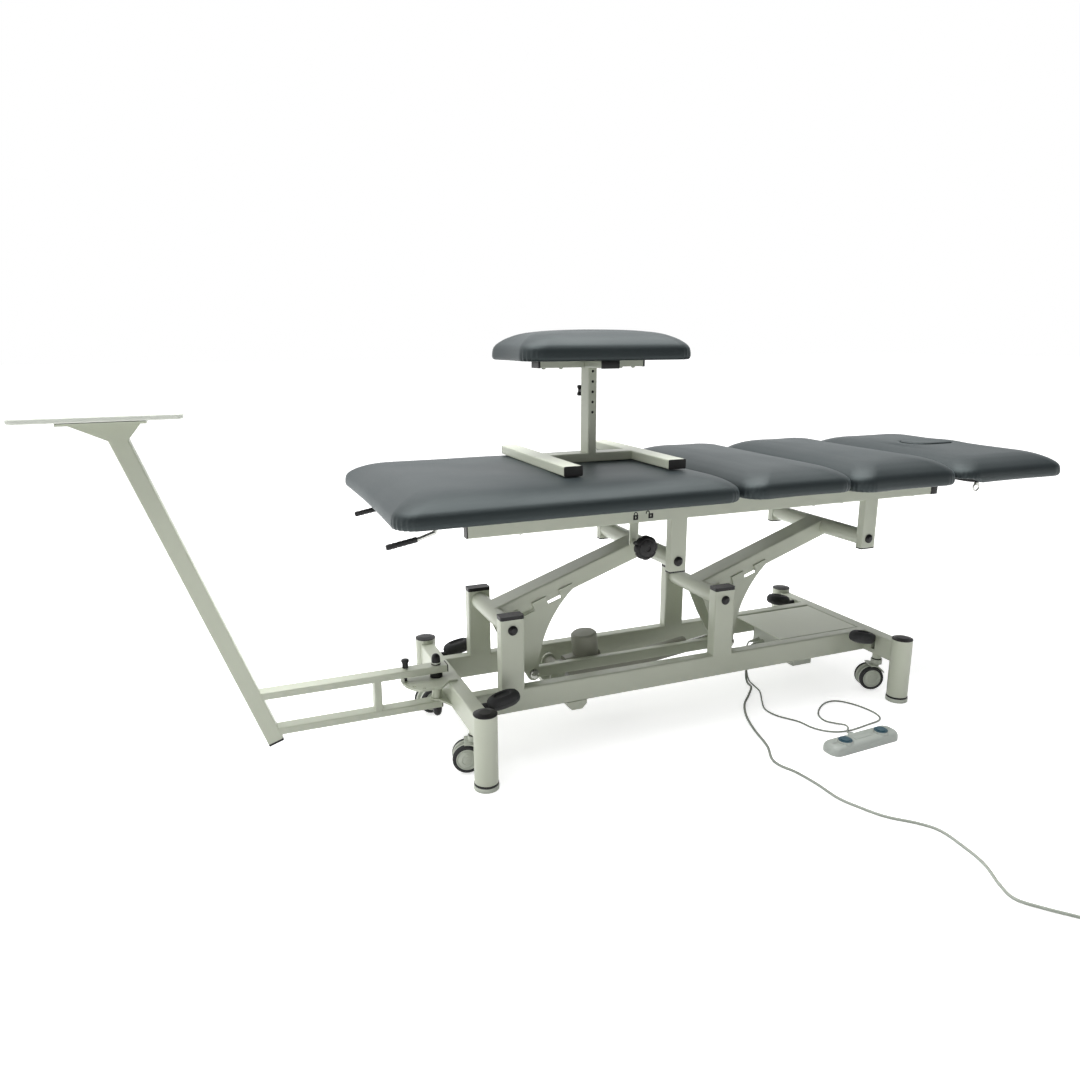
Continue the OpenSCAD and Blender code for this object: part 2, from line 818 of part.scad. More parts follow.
// Top frame: rails, cross tubes, brackets down to the arms, and the head hinge's lugs
module top_frame() {
    bracket_mid = (top_out + top_in) / 2;
    cross_z = top_rail_z + cross_tube / 2;
    hinge_z = top_z - hinge_drop;
    lug_half = hinge_r + sheet_t / 2;
    color(powder) at_origin() difference() {
        union() {
            for (sy = [-1, 1]) {
                bar_x(top_x0, top_x1, sy * bracket_mid, top_z - top_rail_h / 2, top_rail_w, top_rail_h, sheet_t);
                for (x = upper_pivots)
                    bar_z(x, sy * bracket_mid, upper_z - bracket_drop, top_rail_z + corner_r, bracket_l, top_rail_w, sheet_t);
                plate_y(sy * hinge_y - hinge_lug_t / 2, sy * hinge_y + hinge_lug_t / 2) {
                    translate([hinge_x, hinge_z]) circle(r = hinge_r);
                    polygon([[top_x1 - cross_tube, top_rail_z + sheet_t], [top_x1, top_rail_z + sheet_t],
                             [hinge_x + hinge_r, hinge_z], [hinge_x, hinge_z + hinge_r],
                             [top_x1 - cross_tube, hinge_z + hinge_r]]);
                }
            }
            for (x = top_cross_x) bar_y(-top_in - sheet_t, top_in + sheet_t, x, cross_z, cross_tube, cross_tube, sheet_t);
        }
        for (x = upper_pivots, sy = [-1, 1])
            rod_y(sy * bracket_mid - top_rail_w, sy * bracket_mid + top_rail_w, x, upper_z, axle_d + 2 * run);
        for (sy = [-1, 1])
            rod_y(sy * hinge_y - lug_half, sy * hinge_y + lug_half, hinge_x, hinge_z, hinge_pin_d + 2 * run);
        rod_y(-top_out + sheet_t, -top_in + over, lock_x, lock_pivot_z, lock_pin_d + 2 * run);
    }
}
module top_caps() {
    bracket_mid = (top_out + top_in) / 2;
    plug_h = 4;
    color(black) at_origin() for (sy = [-1, 1]) {
        bar_x(top_x0 - cap_t, top_x0, sy * bracket_mid, top_z - top_rail_h / 2, top_rail_w, top_rail_h, sheet_t);
        bar_x(top_x1, top_x1 + cap_t, sy * bracket_mid, top_z - top_rail_h / 2, top_rail_w, top_rail_h, sheet_t);
        for (x = upper_pivots) {
            bar_z(x, sy * bracket_mid, upper_z - bracket_drop - plug_h, upper_z - bracket_drop, bracket_l, top_rail_w, sheet_t);
            pivot_cap(x, sy * top_out, upper_z, -sy);
        }
    }
}

// Boards and cushions: a cushion is rings of one rounded outline, drawn in between its corners
module board(x0, l, w, z0, z1) {
    r = board_r;
    translate([x0 + l / 2, 0, z0]) linear_extrude(z1 - z0) {
        square([l - 2 * r, w], center = true);
        square([l, w - 2 * r], center = true);
        for (sx = [-1, 1], sy = [-1, 1]) translate([sx * (l / 2 - r), sy * (w / 2 - r)]) circle(r = r);
    }
}
pull_in = 5;
corner_steps = 5;
side_steps = 6;
function corner_ring(l, w, r) = [
    for (q = [0 : 3], s = [0 : corner_steps])
        let (a = 90 * q + 90 * s / corner_steps, sx = (q == 0 || q == 3) ? 1 : -1, sy = q < 2 ? 1 : -1)
            [sx * (l / 2 - r) + r * cos(a), sy * (w / 2 - r) + r * sin(a)]
];
function with_sides(ring, n) = [
    for (i = [0 : len(ring) - 1])
        let (p = ring[i], q = ring[(i + 1) % len(ring)], side = (i + 1) % (corner_steps + 1) == 0)
            each concat([p], !side ? [] : [
                for (k = [1 : n - 1])
                    let (t = k / n, d = q - p, inward = [-d[1], d[0]] / norm(d))
                        p + t * d + inward * pull_in * sin(180 * t)
            ])
];
// Height and width shares from the underside, round the widest line, to the crown
edge_inset_shares = [0.11, 0.03, 0, 0.06, 0.2, 0.5, 1];
edge_height_shares = [0, 0.05, 0.2, 0.37, 0.54, 0.75, 0.88];
crown_inset_shares = [0.25, 0.5, 0.75, 1];
crown_rise_shares = [0.55, 0.83, 0.96, 1];

// Width of the slope along each edge, and the most of a small pad that it may take
cushion_edge = 95;
slope_share = 0.3;
module cushion_form(l, w, h, r) {
    outline = with_sides(corner_ring(l, w, r), side_steps);
    count = len(outline);
    edge = min(cushion_edge, min(l, w) * slope_share);
    inner_l = l - 2 * edge;
    inner_w = w - 2 * edge;
    shoulder_share = edge_height_shares[len(edge_height_shares) - 1];
    rings = concat(
        [for (k = [0 : len(edge_inset_shares) - 1])
            let (fx = 1 - 2 * edge * edge_inset_shares[k] / l, fy = 1 - 2 * edge * edge_inset_shares[k] / w)
                [for (p = outline) [p[0] * fx, p[1] * fy, h * edge_height_shares[k]]]],
        [for (k = [0 : len(crown_inset_shares) - 2])
            let (f = 1 - crown_inset_shares[k])
                [for (p = outline) [p[0] * f * inner_l / l, p[1] * f * inner_w / w,
                                    h * (shoulder_share + (1 - shoulder_share) * crown_rise_shares[k])]]]
    );
    levels = len(rings);
    points = concat([for (ring = rings) each ring], [[0, 0, 0], [0, 0, h]]);
    bottom = levels * count;
    faces = concat(
        [for (k = [0 : levels - 2], i = [0 : count - 1])
            let (a = k * count + i, b = k * count + (i + 1) % count) each [[a, b + count, b], [a, a + count, b + count]]],
        [for (i = [0 : count - 1]) [bottom, i, (i + 1) % count]],
        [for (i = [0 : count - 1])
            let (top = (levels - 1) * count) [bottom + 1, top + (i + 1) % count, top + i]]
    );
    polyhedron(points, faces);
}
module centre_boards() {
    color(black) at_origin() {
        board(seat_x0 + board_inset, seat_l - 2 * board_inset, cushion_w - 2 * board_inset, top_z, foam_z);
        board(back_x0 + board_inset, back_l - 2 * board_inset, cushion_w - 2 * board_inset, top_z, foam_z);
    }
}
module seat_cushion() {
    color(vinyl) at_origin() translate([seat_x0 + seat_l / 2, 0, foam_z]) cushion_form(seat_l, cushion_w, foam_h, cushion_r);
}
module back_cushion() {
    color(vinyl) at_origin() translate([back_x0 + back_l / 2, 0, foam_z]) cushion_form(back_l, cushion_w, foam_h, cushion_r);
}

// Sliding section: carriage between the rails, board, cushion, handles and grips
module slide_carriage() {
    outer = top_in - gap;
    color(powder) at_origin() {
        for (sy = [-1, 1])
            bar_x(leg_x0 + carriage_in, leg_x0 + leg_l - 2 * carriage_in, sy * (outer - carriage_w / 2),
                  top_z + gap - carriage_w / 2, carriage_w, carriage_w - gap, sheet_t);
        for (x = [leg_x0 + 2 * carriage_w, leg_x0 + leg_l - 3 * carriage_w])
            bar_y(-outer + carriage_w / 2, outer - carriage_w / 2, x, top_z + gap - carriage_w / 2,
                  carriage_w, carriage_w - gap, sheet_t);
    }
}
module leg_board() {
    color(black) at_origin()
        board(leg_x0 + board_inset, leg_l - 2 * board_inset, cushion_w - 2 * board_inset, top_z + gap / 2, foam_z);
}
module leg_cushion() {
    color(vinyl) at_origin() translate([leg_x0 + leg_l / 2, 0, foam_z]) cushion_form(leg_l, cushion_w, foam_h, cushion_r);
}
handle_dx = [135, 122, 84, 11];
handle_dz = [sheet_t, 30, 42, 55];
module strut(a, b, d) {
    v = b - a;
    translate(a) rotate([0, atan2(v[0], v[2]), 0]) cylinder(h = norm(v), d = d);
}
module handle_points(sy, from, to, d) {
    p = [for (i = [0 : 3]) [leg_x0 + handle_dx[i], sy * handle_y, top_z - handle_dz[i]]];
    for (i = [from : to - 1]) {
        strut(p[i], p[i + 1], d);
        if (i > from) translate(p[i]) sphere(d = d + handle_knee);
    }
}
module pull_handles() {
    color(steel) at_origin() for (sy = [-1, 1]) {
        handle_points(sy, 0, 3, handle_d);
        rod_z(top_z - sheet_t, top_z + gap / 2, leg_x0 + handle_dx[0],
              sy * (handle_y + (handle_flange_d - handle_d - sheet_t) / 2), handle_flange_d);
    }
}
module handle_grips() {
    ribs = 6;
    rib_pitch = grip_l / ribs;
    end = [leg_x0 + handle_dx[3], 0, top_z - handle_dz[3]];
    inner = [leg_x0 + handle_dx[2], 0, top_z - handle_dz[2]];
    lean = atan2(end[0] - inner[0], end[2] - inner[2]);
    color(black) at_origin() for (sy = [-1, 1])
        translate([inner[0], sy * handle_y, inner[2]]) rotate([0, lean, 0]) difference() {
            union() {
                translate([0, 0, handle_d / 2]) cylinder(h = grip_l, d = grip_d - sheet_t / 2);
                for (i = [0 : ribs - 1])
                    translate([0, 0, handle_d / 2 + i * rib_pitch]) cylinder(h = rib_pitch * 3 / 4, d = grip_d);
            }
            cylinder(h = norm(end - inner) + gap, d = handle_d + 2 * run);
        }
}

// Lock: a flat lever inside the front rail, and the star knob on its lower end
module lock_lever() {
    y1 = -top_in + gap + lever_t;
    color(powder) at_origin() difference() {
        union() {
            plate_y(-top_in + gap, y1) {
                translate([lock_x - lever_flat / 2, lock_pivot_z - lock_drop]) square([lever_flat, lock_drop]);
                for (z = [0, lock_drop]) translate([lock_x, lock_pivot_z - z]) circle(d = lever_flat);
            }
            rod_y(-top_out + sheet_t + gap, y1, lock_x, lock_pivot_z, lock_pin_d);
            rod_y(-top_in - lever_t, y1, lock_x, lock_pivot_z - lock_drop, lever_flat * 3 / 4);
        }
        rod_y(-top_out, 0, lock_x, lock_pivot_z - lock_drop, knob_shaft_d + 2 * run);
    }
}
module lock_knob() {
    z = lock_pivot_z - lock_drop;
    face = -top_out - knob_y;
    lobe_at = knob_d / 2 - knob_lobe_r;
    color(black) at_origin() {
        rod_y(face + knob_t / 2, -top_in + lever_t, lock_x, z, knob_shaft_d);
        translate([lock_x, face + knob_t, z]) rotate([90, 0, 0]) difference() {
            linear_extrude(knob_t) {
                circle(r = lobe_at);
                for (i = [0 : knob_lobes - 1]) rotate(360 * i / knob_lobes) translate([lobe_at, 0]) circle(r = knob_lobe_r);
            }
            translate([0, 0, knob_t - knob_dish]) cylinder(h = knob_dish + over, r = lobe_at - knob_lobe_r / 2);
        }
    }
}

// Head section on its hinge, with the breathing hole and its plug
module face_hole(extra) {
    translate([face_x, 0, top_z - over]) linear_extrude(board_t + foam_h + 2 * over)
        stadium(face_l + 2 * extra, face_w + 2 * extra);
}
module head_board() {
    color(black) at_origin() difference() {
        board(head_board_x0, head_l + head_x0 - head_board_x0 - board_inset, cushion_w - 2 * board_inset, top_z, foam_z);
        face_hole(gap);
    }
}
module head_hinges() {
    hinge_z = top_z - hinge_drop;
    color(steel) at_origin() for (sy = [-1, 1]) {
        inner = hinge_y - hinge_lug_t / 2 - gap;
        y0 = sy > 0 ? inner - hinge_lug_t : -inner;
        y1 = y0 + hinge_lug_t;
        rod_y(sy > 0 ? y0 : -hinge_y - hinge_lug_t / 2 - gap, sy > 0 ? hinge_y + hinge_lug_t / 2 + gap : y1,
              hinge_x, hinge_z, hinge_pin_d);
        plate_y(y0, y1) {
            translate([hinge_x, hinge_z]) circle(r = hinge_r);
            polygon([[hinge_x, hinge_z - hinge_r], [hinge_x + leaf_l, top_z - leaf_t],
                     [hinge_x + leaf_l, top_z], [head_board_x0 + corner_r, top_z],
                     [hinge_x, hinge_z + hinge_r]]);
        }
        translate([head_board_x0 + corner_r, sy > 0 ? y1 - leaf_w : y0, top_z - leaf_t])
            cube([leaf_l - corner_r - head_board_x0 + hinge_x, leaf_w, leaf_t]);
        difference() {
            translate([d_ring_x - d_clip_l / 2, sy * d_ring_y - d_clip_w / 2, top_z - d_clip_t])
                cube([d_clip_l, d_clip_w, d_clip_t]);
            rod_x(d_ring_x - d_clip_l, d_ring_x + d_clip_l, sy * d_ring_y, top_z - d_clip_t / 2, d_ring_wire + 2 * run);
        }
    }
}
module head_cushion() {
    color(vinyl) at_origin() difference() {
        translate([head_x0 + head_l / 2, 0, foam_z]) cushion_form(head_l, cushion_w, foam_h - head_drop, cushion_r);
        face_hole(gap);
    }
}
module face_plug() {
    proud = 4;
    bevel = 6;
    plug_top = foam_z + foam_h - head_drop + proud;
    color(vinyl) at_origin() translate([face_x, 0, 0]) {
        translate([0, 0, top_z]) linear_extrude(plug_top - top_z - bevel) stadium(face_l, face_w);
        translate([0, 0, plug_top - bevel]) linear_extrude(bevel) stadium(face_l - 2 * bevel, face_w - 2 * bevel);
    }
}
module d_ring(sy) {
    color(steel) at_origin() translate([d_ring_x, sy * d_ring_y, top_z - d_clip_t / 2]) {
        rod_x(-d_ring_r, d_ring_r, 0, 0, d_ring_wire);
        for (s = [-1, 1]) translate([s * d_ring_r, 0, 0]) sphere(d = d_ring_wire);
        rotate([-90, 0, 0]) rotate_extrude(angle = 180) translate([d_ring_r, 0]) circle(d = d_ring_wire);
    }
}

// Swivel bracket: indexed quadrant on the cross tube, boss and the web below
module swivel_bracket() {
    face_x = -half_x - cross_w / 2;
    color(powder) at_origin() difference() {
        union() {
            translate([0, 0, base_top]) linear_extrude(quad_t) intersection() {
                polygon([[face_x + cross_w / 2 + corner_r, -quad_root_half], [face_x, -quad_root_half],
                         [swivel_x - corner_r, -quad_half], [swivel_x - quad_r, -quad_half],
                         [swivel_x - quad_r, quad_half], [swivel_x - corner_r, quad_half],
                         [face_x, quad_root_half], [face_x + cross_w / 2 + corner_r, quad_root_half]]);
                translate([swivel_x, 0]) circle(r = quad_r);
            }
            translate([0, 0, web_z]) linear_extrude(web_t) {
                polygon([[face_x, -web_half], [face_x, web_half], [swivel_x, web_tip], [swivel_x, -web_tip]]);
                translate([swivel_x, 0]) circle(r = web_tip);
            }
            rod_z(web_z, base_top, swivel_x, 0, boss_d);
        }
        rod_z(web_z - over, base_top + 2 * quad_t, swivel_x, 0, bolt_d + 2 * run);
        for (i = [-2 : 3])
            translate([swivel_x, 0, 0]) rotate((i - 0.5) * index_step)
                rod_z(base_top - over, base_top + 2 * quad_t, -index_r, 0, index_d);
    }
}

// Traction frame about the swivel, the post that leans away, and the head for the unit's board
module traction_frame() {
    gusset_in = post_depth / 2 - gusset_t / 4;
    upper_joint_x = post_foot_x - (upper_tube_z + ladder_h / 2 - post_foot_z) * lean_per_z;
    lower_joint_x = post_foot_x - (lower_tube_z + ladder_h / 2 - post_foot_z) * lean_per_z;
    post_len = (post_end_z + gusset_rise / 2 - post_foot_z) / cos(post_lean);
    color(powder) at_origin() difference() {
        union() {
            bar_x(upper_joint_x, swivel_x + upper_end, 0, upper_tube_z + ladder_h / 2, ladder_w, ladder_h, sheet_t);
            bar_x(lower_joint_x, swivel_x + lower_end, 0, lower_tube_z + ladder_h / 2, ladder_w, ladder_h, sheet_t);
            bar_z(strut_x, 0, lower_tube_z + ladder_h / 2, upper_tube_z + ladder_h / 2, strut_w, ladder_w - sheet_t, sheet_t);
            translate([post_foot_x, 0, post_foot_z]) rotate([0, -post_lean, 0])
                linear_extrude(post_len) polygon(bend(post_tube, post_depth, sheet_t));
            for (sy = [-1, 1]) plate_y(sy > 0 ? gusset_in : -gusset_in - gusset_t,
                                       sy > 0 ? gusset_in + gusset_t : -gusset_in) polygon([
                [post_end_x - gusset_left, plate_z], [post_end_x - gusset_low, post_end_z],
                [post_end_x + gusset_low, post_end_z], [post_end_x + gusset_right, plate_z]
            ]);
            translate([platform_x + corner_r - head_plate_l / 2, -head_plate_w / 2, plate_z])
                cube([head_plate_l, head_plate_w, head_plate_t]);
            rod_z(upper_tube_z + ladder_h - corner_r, upper_tube_z + ladder_h + index_sleeve_h, plunger_x, 0, index_sleeve_d);
        }
        rod_z(lower_tube_z - over, upper_tube_z + 2 * ladder_h, swivel_x, 0, bolt_d + 2 * run);
        rod_z(upper_tube_z - over, upper_tube_z + 3 * ladder_h, plunger_x, 0, index_pin_d + 2 * run);
    }
}
module traction_caps() {
    color(black) at_origin() {
        bar_x(swivel_x + upper_end, swivel_x + upper_end + cap_t, 0, upper_tube_z + ladder_h / 2, ladder_w, ladder_h, sheet_t);
        bar_x(swivel_x + lower_end, swivel_x + lower_end + cap_t, 0, lower_tube_z + ladder_h / 2, ladder_w, ladder_h, sheet_t);
        translate([post_foot_x, 0, post_foot_z]) rotate([0, -post_lean, 0]) translate([0, 0, -2 * cap_t])
            linear_extrude(2 * cap_t) polygon(bend(post_tube, post_depth, sheet_t));
        difference() {
            rod_z(base_top + quad_t + gap, upper_tube_z, swivel_x, 0, washer_d);
            rod_z(base_top, upper_tube_z + over, swivel_x, 0, bolt_d + 2 * run);
        }
    }
}
module swivel_bolt() {
    upper = upper_tube_z + ladder_h + gap;
    color(black) at_origin() translate([swivel_x, 0, 0]) {
        translate([0, 0, lower_tube_z - gap]) mirror([0, 0, 1]) dome(nut_d, nut_drop);
        rod_z(lower_tube_z - cap_t, upper + cap_t, 0, 0, bolt_d);
        rod_z(upper, upper + cap_t, 0, 0, washer_d);
        translate([0, 0, upper + cap_t]) dome(nut_d, dome_h);
    }
}
module index_plunger() {
    tip = base_top + quad_t + gap;
    sleeve_top = upper_tube_z + ladder_h + index_sleeve_h;
    color(black) at_origin() translate([plunger_x, 0, 0]) {
        rod_z(tip, index_head_z, 0, 0, index_pin_d);
        rod_z(sleeve_top + gap, index_head_z, 0, 0, index_sleeve_d * 3 / 4);
        translate([0, 0, index_head_z]) dome(index_head_d, index_head_t);
    }
}
module platform_gasket() {
    color(black) at_origin()
        translate([platform_x + corner_r - head_plate_l / 2, -head_plate_w / 2, plate_z + head_plate_t])
            cube([head_plate_l, head_plate_w, gasket_t]);
}
module platform_board() {
    r = 12;
    lip = 3;
    color(white) at_origin() translate([platform_x, 0, platform_z]) {
        linear_extrude(lip) board_outline(platform_l - 2 * lip, platform_w - 2 * lip, r - lip);
        translate([0, 0, lip]) linear_extrude(platform_t - 2 * lip) board_outline(platform_l, platform_w, r);
        translate([0, 0, platform_t - lip]) linear_extrude(lip) board_outline(platform_l - 2 * lip, platform_w - 2 * lip, r - lip);
    }
}
module board_outline(l, w, r) {
    square([l - 2 * r, w], center = true);
    square([l, w - 2 * r], center = true);
    for (sx = [-1, 1], sy = [-1, 1]) translate([sx * (l / 2 - r), sy * (w / 2 - r)]) circle(r = r);
}

// Leg stool: two feet, cross tube and mast; the inner tube carries the pad
module stool_base() {
    foot_z = stool_z + stool_tube / 2;
    mast_top = stool_z + stool_tube + mast_h;
    color(powder) at_origin() translate([stool_x, stool_y, 0]) difference() {
        union() {
            for (sx = [-1, 1])
                bar_y(-stool_foot_l / 2, stool_foot_l / 2, sx * stool_pitch / 2, foot_z, stool_foot_w, stool_tube, sheet_t);
            bar_x(-stool_pitch / 2, stool_pitch / 2, 0, foot_z, stool_foot_w, stool_tube, sheet_t);
            bar_z(0, 0, foot_z, mast_top, mast_x_size, mast_y_size, sheet_t);
        }
        translate([0, 0, stool_z + stool_tube])
            bar_z(0, 0, 0, mast_h + over, mast_x_size - 2 * mast_wall, mast_y_size - 2 * mast_wall, sheet_t / 3);
        for (i = [0 : mast_holes - 1])
            rod_y(-mast_y_size, 0, 0, mast_top - mast_hole_top - i * mast_hole_step, mast_hole_d);
        rod_y(0, mast_y_size, 0, mast_top - spool_drop, spool_pin + 2 * run);
    }
}
module stool_caps() {
    foot_z = stool_z + stool_tube / 2;
    color(black) at_origin() translate([stool_x, stool_y, 0]) for (sx = [-1, 1], sy = [-1, 1])
        bar_y(sy > 0 ? stool_foot_l / 2 : -stool_foot_l / 2 - cap_t, sy > 0 ? stool_foot_l / 2 + cap_t : -stool_foot_l / 2,
              sx * stool_pitch / 2, foot_z, stool_foot_w, stool_tube, sheet_t);
}
module stool_mast() {
    mast_top = stool_z + stool_tube + mast_h;
    inner_x = mast_x_size - 2 * mast_wall - 2 * gap;
    inner_y = mast_y_size - 2 * mast_wall - 2 * gap;
    color(powder) at_origin() translate([stool_x, stool_y, 0]) difference() {
        union() {
            bar_z(0, 0, mast_top - inner_l, mast_top + pad_tube_h / 2, inner_x, inner_y, sheet_t / 3);
            bar_x(-pad_cross_l / 2, pad_cross_l / 2, 0, mast_top + gap + pad_tube_h / 2, pad_cross_w, pad_tube_h, sheet_t);
            bar_y(-pad_front, pad_back, 0, mast_top + gap + pad_tube_h / 2, pad_cross_w, pad_tube_h, sheet_t);
        }
        for (i = [1 : mast_holes])
            rod_y(0, mast_y_size, 0, mast_top - spool_drop - (i - 0.5) * mast_hole_step, mast_hole_d);
    }
}
module stool_pad() {
    mast_top = stool_z + stool_tube + mast_h;
    pad_z = mast_top + gap + pad_tube_h;
    color(vinyl) at_origin() translate([stool_x, stool_y, pad_z]) cushion_form(pad_l, pad_w, pad_h, cushion_r);
}
module stool_plunger() {
    z = stool_z + stool_tube + mast_h - spool_drop;
    face = mast_y_size / 2 + gap;
    tip = mast_y_size / 2 - mast_wall;
    color(black) at_origin() translate([stool_x, stool_y, 0]) {
        rod_y(tip, face + spool_l, 0, z, spool_pin);
        rod_y(face, face + spool_l, 0, z, spool_neck);
        rod_y(face, face + sheet_t, 0, z, spool_d * 3 / 4);
        rod_y(face + spool_l * 2 / 3, face + spool_l, 0, z, spool_d);
    }
}

// Foot switch on the floor: bevelled housing, two collars and the cable's boot
module in_switch() {
    at_origin() translate([switch_x, switch_y, 0]) rotate(switch_turn) children();
}
module foot_switch() {
    color(light_grey) in_switch() difference() {
        union() {
            hull() {
                linear_extrude(switch_h / 2) board_outline(switch_l, switch_w, switch_r, $fn = 32);
                linear_extrude(switch_h)
                    board_outline(switch_l - 2 * switch_bevel, switch_w - 2 * switch_bevel, switch_r - switch_bevel / 2, $fn = 32);
            }
            for (s = [-1, 1]) rod_z(0, switch_h + collar_rise, s * button_pitch / 2, button_y, button_d + 2 * collar_w);
            translate([0, switch_w / 2 - sheet_t, switch_h / 2]) rotate([-90, 0, 0])
                cylinder(h = switch_boot_l / 2 + sheet_t, d1 = 2 * cable_d, d2 = cable_d + sheet_t);
        }
        for (s = [-1, 1])
            rod_z(switch_h - button_travel, switch_h + 2 * collar_rise, s * button_pitch / 2, button_y, button_d + 2 * gap);
    }
}
module foot_button(s) {
    color(blue) in_switch() translate([s * button_pitch / 2, button_y, switch_h + gap]) {
        cylinder(h = button_h * 2 / 3, d = button_d);
        cylinder(h = button_h, d = button_d * 3 / 4);
    }
}

// Cords: a smooth line through the route's points, swept as one tube
function smooth(p, i, t) =
    let (n = len(p) - 1, a = p[max(i - 1, 0)], b = p[i], c = p[min(i + 1, n)], d = p[min(i + 2, n)])
        (2 * b + (c - a) * t + (2 * a - 5 * b + 4 * c - d) * t * t + (3 * b - a - 3 * c + d) * t * t * t) / 2;
function line_through(p, steps) = concat(
    [for (i = [0 : len(p) - 2], k = [0 : steps - 1]) smooth(p, i, k / steps)], [p[len(p) - 1]]);
function unit(v) = v / norm(v);
function heading(p, i) = unit(p[min(i + 1, len(p) - 1)] - p[max(i - 1, 0)]);
module tube(path, r, sides) {
    count = len(path);
    points = concat([for (i = [0 : count - 1])
        let (t = heading(path, i), side = unit(cross(t, [0, 0, 1])), rise = cross(side, t))
            each [for (k = [0 : sides - 1])
                let (a = 360 * (k + 0.5) / sides) path[i] + r * (side * cos(a) + rise * sin(a))]],
        [path[0], path[count - 1]]);
    first = count * sides;
    faces = concat(
        [for (i = [0 : count - 2], k = [0 : sides - 1])
            let (a = i * sides + k, b = i * sides + (k + 1) % sides) each [[a, b, b + sides], [a, b + sides, a + sides]]],
        [for (k = [0 : sides - 1]) [first, (k + 1) % sides, k]],
        [for (k = [0 : sides - 1]) let (e = (count - 1) * sides) [first + 1, e + k, e + (k + 1) % sides]]
    );
    polyhedron(points, faces);
}
module mains_lead() {
    color(cord_grey) at_origin() tube(line_through(lead_route, 2), lead_d / 2, lead_sides);
}
module foot_cable() {
    color(cord_grey) at_origin() tube(line_through(cable_route, 2), cable_d / 2, lead_sides);
}

// The coil spirals in on the floor, climbs in the half turn where it reverses, and out again
coil_out_r = coil_mean_r + coil_pitch * coil_turns / 4;
coil_middle = coil_start - coil_out_r * [-coil_heading[1], coil_heading[0]] / norm(coil_heading);
coil_from = atan2(coil_heading[0], -coil_heading[1]);
function coil_climb(t) = let (s = min(max((t - coil_turns / 2 + 0.25) * 2, 0), 1)) s * s * (3 - 2 * s);
function coil_point(t) =
    let (r = coil_out_r - coil_pitch * min(t, coil_turns - t), a = coil_from - 360 * t)
        [coil_middle[0] + r * cos(a), coil_middle[1] + r * sin(a), lead_d * 4 / 7 + coil_pitch * coil_climb(t)];
coil_line = concat(
    [for (i = [0 : coil_turns * coil_rings]) coil_point(i / coil_rings)],
    [for (k = [1, 2]) let (u = unit([coil_heading[0], coil_heading[1], 0]))
        coil_point(coil_turns) + u * coil_tail * k / 2]);
module mains_coil() {
    apart = [for (i = [0 : len(coil_line) - 1], j = [i + coil_rings / 2 : 1 : len(coil_line) - 1])
        norm(coil_line[i] - coil_line[j]) - lead_d];
    echo(least_gap_between_turns = min(apart));
    color(cord_grey) at_origin() tube(coil_line, lead_d / 2, coil_sides);
}
module mains_plug() {
    end = coil_line[len(coil_line) - 1];
    body_z = plug_t / 2;
    color(light_grey) at_origin() translate([end[0], end[1], 0]) rotate(atan2(coil_heading[1], coil_heading[0])) {
        translate([0, 0, end[2]]) rotate([0, 90, 0]) cylinder(h = plug_boot_l, d1 = lead_d + sheet_t / 2, d2 = 2 * lead_d);
        translate([plug_boot_l + plug_l / 2, 0, 0]) linear_extrude(plug_t) board_outline(plug_l, plug_w, corner_r);
        for (s = [-1, 1]) translate([plug_boot_l + plug_l, s * pin_pitch / 2, body_z]) rotate([s * 30, 0, 0])
            translate([0, -pin_t / 2, -pin_w / 2]) cube([pin_l, pin_t, pin_w]);
    }
}

base_frame();
swivel_bracket();
base_caps();
levelling_feet();
control_box();
cover_plate();
castor_plunger(0);  // castor_plunger_fl
castor_plunger(1);  // castor_plunger_fr
castor_plunger(2);  // castor_plunger_bl
castor_plunger(3);  // castor_plunger_br
castor_fork(0);  // castor_fork_fl
castor_fork(1);  // castor_fork_fr
castor_fork(2);  // castor_fork_bl
castor_fork(3);  // castor_fork_br
castor_wheels(0);  // castor_wheels_fl
castor_wheels(1);  // castor_wheels_fr
castor_wheels(2);  // castor_wheels_bl
castor_wheels(3);  // castor_wheels_br
arm(0);  // arm_left
arm(1);  // arm_right
tie_bar();
fin_bolts();
actuator_body();
actuator_rod();
top_frame();
top_caps();
centre_boards();
seat_cushion();
back_cushion();
slide_carriage();
leg_board();
leg_cushion();
pull_handles();
handle_grips();
lock_lever();
lock_knob();
head_board();
head_hinges();
head_cushion();
face_plug();
d_ring(-1);  // d_ring_front
d_ring(1);  // d_ring_back
traction_frame();
traction_caps();
swivel_bolt();
index_plunger();
platform_board();
platform_gasket();
stool_base();
stool_caps();
stool_mast();
stool_pad();
stool_plunger();
foot_switch();
foot_button(-1);  // foot_button_up
foot_button(1);  // foot_button_down
mains_lead();
mains_coil();
mains_plug();
foot_cable();
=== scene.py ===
import math

import bpy
import numpy as np
from mathutils import Matrix, Vector


